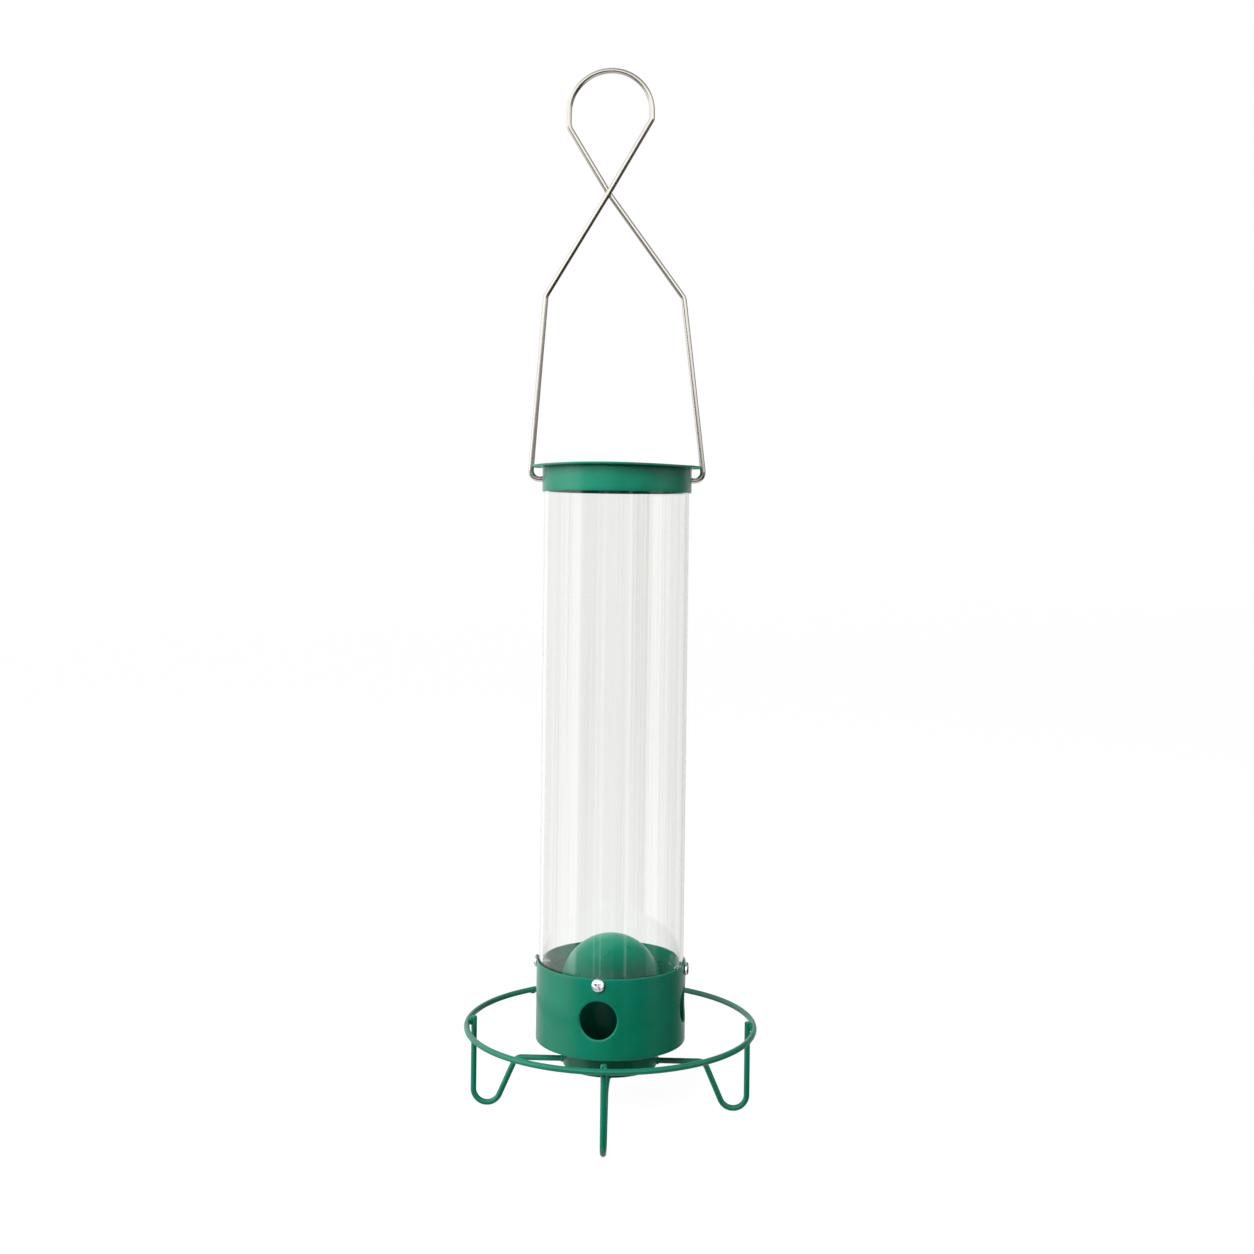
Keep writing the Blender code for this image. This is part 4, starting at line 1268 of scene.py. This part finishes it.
# What the finishes mirror: walls of a light tent, each a list of compass angles from the camera
# (positive to the right) with the light there. A wall begins between its two elevations.
TENT = (
    # From straight below.
    (-90, -90, ((-180, 0.8), (180, 0.8))),
    # What the hub and the legs mirror.
    (-48, -34, ((-180, 0.8), (-136, 0.5), (-82, 0.4), (-50, 0.35), (-30, 0.02), (82, 0.02),
                (136, 0.08), (160, 0.7), (180, 0.8))),
    # What the tube and the housing mirror: narrow strips of light between dark walls.
    (-18, -16, ((-180, 1.0), (-150, 1.2), (-140, 0.9), (-105, 1.0), (-85, 1.4), (-59, 1.4),
                (-57, 0.02), (-29, 0.02), (-28, 0.9), (-26.8, 0.9), (-26, 0.1), (-19, 0.15),
                (-18, 1.1), (-16.6, 1.1), (-16, 0.2), (3, 0.15), (5, 0.02), (20.5, 0.02),
                (21.3, 0.8), (24, 0.8), (25, 0.03), (57, 0.02), (59, 0.4), (74, 0.6), (80, 0.12),
                (118, 0.12), (132, 0.6), (160, 0.85), (180, 1.0))),
    # What the lid mirrors: one bright wall on the left.
    (2.5, 4.5, ((-180, 0.9), (-150, 0.8), (-130, 0.5), (-112, 0.8), (-98, 2.9), (-60, 3.05),
                (-50, 1.0), (-28, 0.05), (5, 0.02), (35, 0.3), (60, 0.8), (90, 0.7),
                (110, 0.15), (140, 0.1), (155, 0.5), (180, 0.9))),
    # What the bail mirrors: light from the left and from in front, and little from the right.
    (4.6, 6.5, ((-180, 0.8), (-150, 1.05), (-115, 1.3), (-60, 1.5), (-40, 1.65), (-25, 1.65),
                (5, 1.5), (35, 1.3), (60, 1.0), (90, 0.7), (110, 0.15), (140, 0.1),
                (155, 0.4), (180, 0.7))),
    # From above.
    (36, 44, ((-180, 0.6), (-150, 0.5), (-120, 0.35), (-98, 0.8), (-60, 0.9), (-50, 0.6),
              (-25, 0.35), (5, 0.3), (35, 0.4), (60, 0.6), (90, 0.5), (110, 0.15), (140, 0.1),
              (155, 0.4), (180, 0.6))),
)
# What lights the finishes from all round: darker towards the camera, where the tent is open.
SURROUND = ((-180, 0.85), (-110, 0.9), (-60, 0.8), (-40, 0.07), (45, 0.07), (65, 0.6),
            (110, 0.75), (180, 0.85))
# Between these two elevations that turns into one level, which it has overhead.
OVERHEAD = (38, 60, 0.25)


def compass(tree):
    """Angle round the feeder that a ray of the world goes in, from 0 to 1, and its rise."""
    ahead = add_node(tree, "ShaderNodeSeparateXYZ", {
        "Vector": add_node(tree, "ShaderNodeTexCoord").outputs["Generated"]})
    front = add_node(tree, "ShaderNodeMath", {0: ahead.outputs["Y"], 1: -1.0},
                     operation='MULTIPLY').outputs["Value"]
    turn = add_node(tree, "ShaderNodeMath", {0: ahead.outputs["X"], 1: front},
                    operation='ARCTAN2').outputs["Value"]
    turn = add_node(tree, "ShaderNodeMapRange", {"Value": turn, "From Min": -math.pi,
                                                 "From Max": math.pi}).outputs["Result"]
    return turn, ahead.outputs["Z"]


def wall(tree, turn, levels):
    """Light of a wall at a compass angle, as a share of BRIGHTEST."""
    ramp = add_node(tree, "ShaderNodeValToRGB", {"Fac": turn})
    stops = ramp.color_ramp.elements
    for stop, (degrees, level) in zip((stops[0], stops[-1]), (levels[0], levels[-1])):
        stop.color = (*[level / BRIGHTEST] * 3, 1)
    for degrees, level in levels[1:-1]:
        stop = stops.new((degrees + 180) / 360)
        stop.color = (*[level / BRIGHTEST] * 3, 1)
    return ramp.outputs["Color"]


def above(tree, rise, low, high):
    """One above two elevations, nothing below them."""
    return add_node(tree, "ShaderNodeMapRange",
                    {"Value": rise, "From Min": math.sin(math.radians(low)),
                     "From Max": math.sin(math.radians(high))}).outputs["Result"]


def sight(tree):
    """Whether a ray is the camera's own line of sight, and whether it was mirrored on its way."""
    path = add_node(tree, "ShaderNodeLightPath").outputs
    mirrored = both(tree, path["Glossy Depth"], 0.5, 'GREATER_THAN')
    direct = both(tree, path["Is Camera Ray"], path["Is Transmission Ray"], 'MAXIMUM')
    direct = both(tree, direct, mirrored, 'GREATER_THAN')
    return direct, both(tree, mirrored, path["Is Diffuse Ray"], 'GREATER_THAN')


class FEEDER_OT_stage(FeederOperator, Operator):
    """Make the pale floor, the soft light and the camera"""
    bl_idname = "feeder.stage"
    bl_label = "Floor, light and camera"

    def make(self, context):
        stage = settings().stage
        self.make_floor(stage)
        self.make_sky(stage)
        # Places and sizes of the lamps are in metres.
        self.soft_box("key_light", (-0.84, -0.36, 0.5), (0.5, 1.0), stage.key_power)
        self.soft_box("fill_light", (0.95, -0.1, 0.5), (0.6, 1.0), stage.fill_power)
        # Flags keep the front light off what lies deep in the housing and under it. The dome has
        # a light of its own from above, and the screws have one in front.
        pieces = {item.name: item for item in context.scene.objects if item.type == 'MESH'}
        dark = {"seed_dome", "housing_pan", "perch_cup", "clear_tube"}
        self.soft_box("front_light", (-0.38, -0.8, 0.72), (0.6, 0.6), stage.front_power,
                      [item for name, item in pieces.items() if name not in dark])
        self.soft_box("dome_light", (-0.1, 0.25, 0.78), (1.0, 0.2), stage.dome_power,
                      [pieces["seed_dome"]])
        self.soft_box("screw_light", (-0.1, -0.75, 0.25), (2.4, 1.5), stage.screw_power,
                      [pieces[f"chrome_screw_{number}"] for number in range(1, LEGS + 1)],
                      mirrored=True)
        self.make_camera(stage)
        context.scene.view_settings.view_transform = 'Standard'

    def make_floor(self, stage):
        """Paper floor that looks white and keeps the feeder's shadow."""
        shape = bmesh.new()
        bmesh.ops.create_grid(shape, x_segments=8, y_segments=8, size=6)
        floor = bpy.data.objects.new("floor", to_mesh("floor", shape))
        floor.location = (0, 0, -GAP / 3)
        bpy.context.scene.collection.objects.link(floor)
        paper = bpy.data.materials.new("matt_paper")
        paper.use_nodes = True
        tree = paper.node_tree
        surface = tree.nodes["Principled BSDF"]
        surface.inputs["Base Color"].default_value = (*stage.paper, 1)
        surface.inputs["Roughness"].default_value = 0.95
        surface.inputs["Specular IOR Level"].default_value = 0.1
        surface.inputs["Emission Color"].default_value = (1, 1, 1, 1)
        direct, mirrored = sight(tree)
        connect(tree, surface, Emission_Strength=both(tree, direct, stage.paper_glow))
        # The finishes mirror the tent in place of the floor.
        clear = add_node(tree, "ShaderNodeBsdfTransparent").outputs["BSDF"]
        shown = add_node(tree, "ShaderNodeMixShader", {0: mirrored, 1: surface.outputs["BSDF"],
                                                       2: clear}).outputs["Shader"]
        tree.links.new(shown, tree.nodes["Material Output"].inputs["Surface"])
        floor.data.materials.append(paper)
        floor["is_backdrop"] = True

    def make_sky(self, stage):
        """White all round for sight, and for mirrors a light tent that is open to the camera."""
        world = bpy.data.worlds.new("light_tent")
        bpy.context.scene.world = world
        world.use_nodes = True
        tree = world.node_tree
        tree.nodes.clear()
        turn, rise = compass(tree)
        mirrored = wall(tree, turn, TENT[0][2])
        for low, high, levels in TENT[1:]:
            mirrored = blend(tree, above(tree, rise, low, high), mirrored,
                             wall(tree, turn, levels))
        low, high, level = OVERHEAD
        around = blend(tree, above(tree, rise, low, high), wall(tree, turn, SURROUND),
                       [level / BRIGHTEST] * 3)
        direct, by_mirror = sight(tree)
        level = add_node(tree, "ShaderNodeMix", {
            "Factor": by_mirror, "A": both(tree, around, stage.sky), "B": mirrored},
            data_type='FLOAT').outputs["Result"]
        level = add_node(tree, "ShaderNodeMix", {
            "Factor": direct, "A": both(tree, level, BRIGHTEST), "B": 1.0},
            data_type='FLOAT').outputs["Result"]
        light = add_node(tree, "ShaderNodeBackground", {"Strength": level, "Color": (1, 1, 1, 1)})
        output = add_node(tree, "ShaderNodeOutputWorld")
        tree.links.new(light.outputs["Background"], output.inputs["Surface"])
        # The tent's light differs with the kind of ray, which sampling it as a lamp would mix up.
        world.cycles.sampling_method = 'NONE'

    def soft_box(self, name, place, size, power, lit=None, mirrored=False):
        """Soft box that faces the feeder, and lights some of the pieces or all."""
        lamp = bpy.data.lights.new(name, 'AREA')
        lamp.shape = 'RECTANGLE'
        lamp.size, lamp.size_y = size
        lamp.energy = power
        made = bpy.data.objects.new(name, lamp)
        made.location = place
        aim = Vector((0, 0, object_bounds()[1].z / 2)) - Vector(place)
        made.rotation_euler = aim.to_track_quat('-Z', 'Y').to_euler()
        # The tent's walls are what most finishes mirror, so most lamps only light.
        made.visible_glossy = mirrored
        made.visible_transmission = False
        bpy.context.scene.collection.objects.link(made)
        if lit:
            group = bpy.data.collections.new(f"{name}_group")
            for piece in lit:
                group.objects.link(piece)
            made.light_linking.receiver_collection = group

    def make_camera(self, stage):
        """Camera before the feeder, level but for a small tilt and roll."""
        lens = bpy.data.cameras.new("camera")
        lens.lens = stage.lens
        lens.sensor_width = 36
        lens.shift_y = stage.lens_shift
        lens.clip_start, lens.clip_end = 0.05, 50
        made = bpy.data.objects.new("camera", lens)
        made.location = (stage.camera_shift, -stage.camera_distance, stage.camera_height)
        made.rotation_euler = (math.pi / 2 - stage.camera_tilt, 0, 0)
        made.rotation_euler.rotate_axis('Z', stage.camera_roll)
        bpy.context.scene.collection.objects.link(made)
        bpy.context.scene.camera = made


OPERATORS = (FEEDER_OT_tube, FEEDER_OT_housing, FEEDER_OT_screws, FEEDER_OT_bearing,
             FEEDER_OT_perch, FEEDER_OT_lid, FEEDER_OT_bail, FEEDER_OT_stage)


class FEEDER_PT_panel(Panel):
    """Panel that lists the feeder's settings and steps"""
    bl_label = "Hanging Tube Feeder"
    bl_idname = "FEEDER_PT_panel"
    bl_space_type = 'VIEW_3D'
    bl_region_type = 'UI'
    bl_category = "Feeder"

    def draw(self, context):
        """Draw each group of settings, then a button for each step."""
        for group in GROUPS:
            box = self.layout.box()
            box.label(text=group.replace("_", " ").capitalize())
            values = getattr(settings(), group)
            for name in GROUPS[group].__annotations__:
                box.prop(values, name)
        for operator in OPERATORS:
            self.layout.operator(operator.bl_idname)


CLASSES = (*GROUPS.values(), FeederSettings, *OPERATORS, FEEDER_PT_panel)


def register():
    """Add the feeder's classes and settings to Blender."""
    for item in CLASSES:
        bpy.utils.register_class(item)
    bpy.types.Scene.tube_feeder = PointerProperty(type=FeederSettings)


def unregister():
    """Take them away again."""
    del bpy.types.Scene.tube_feeder
    for item in reversed(CLASSES):
        bpy.utils.unregister_class(item)


def main():
    """Make the whole scene."""
    register()
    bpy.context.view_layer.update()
    for operator in OPERATORS:
        group, name = operator.bl_idname.split(".")
        getattr(getattr(bpy.ops, group), name)()


if __name__ == "__main__":
    main()
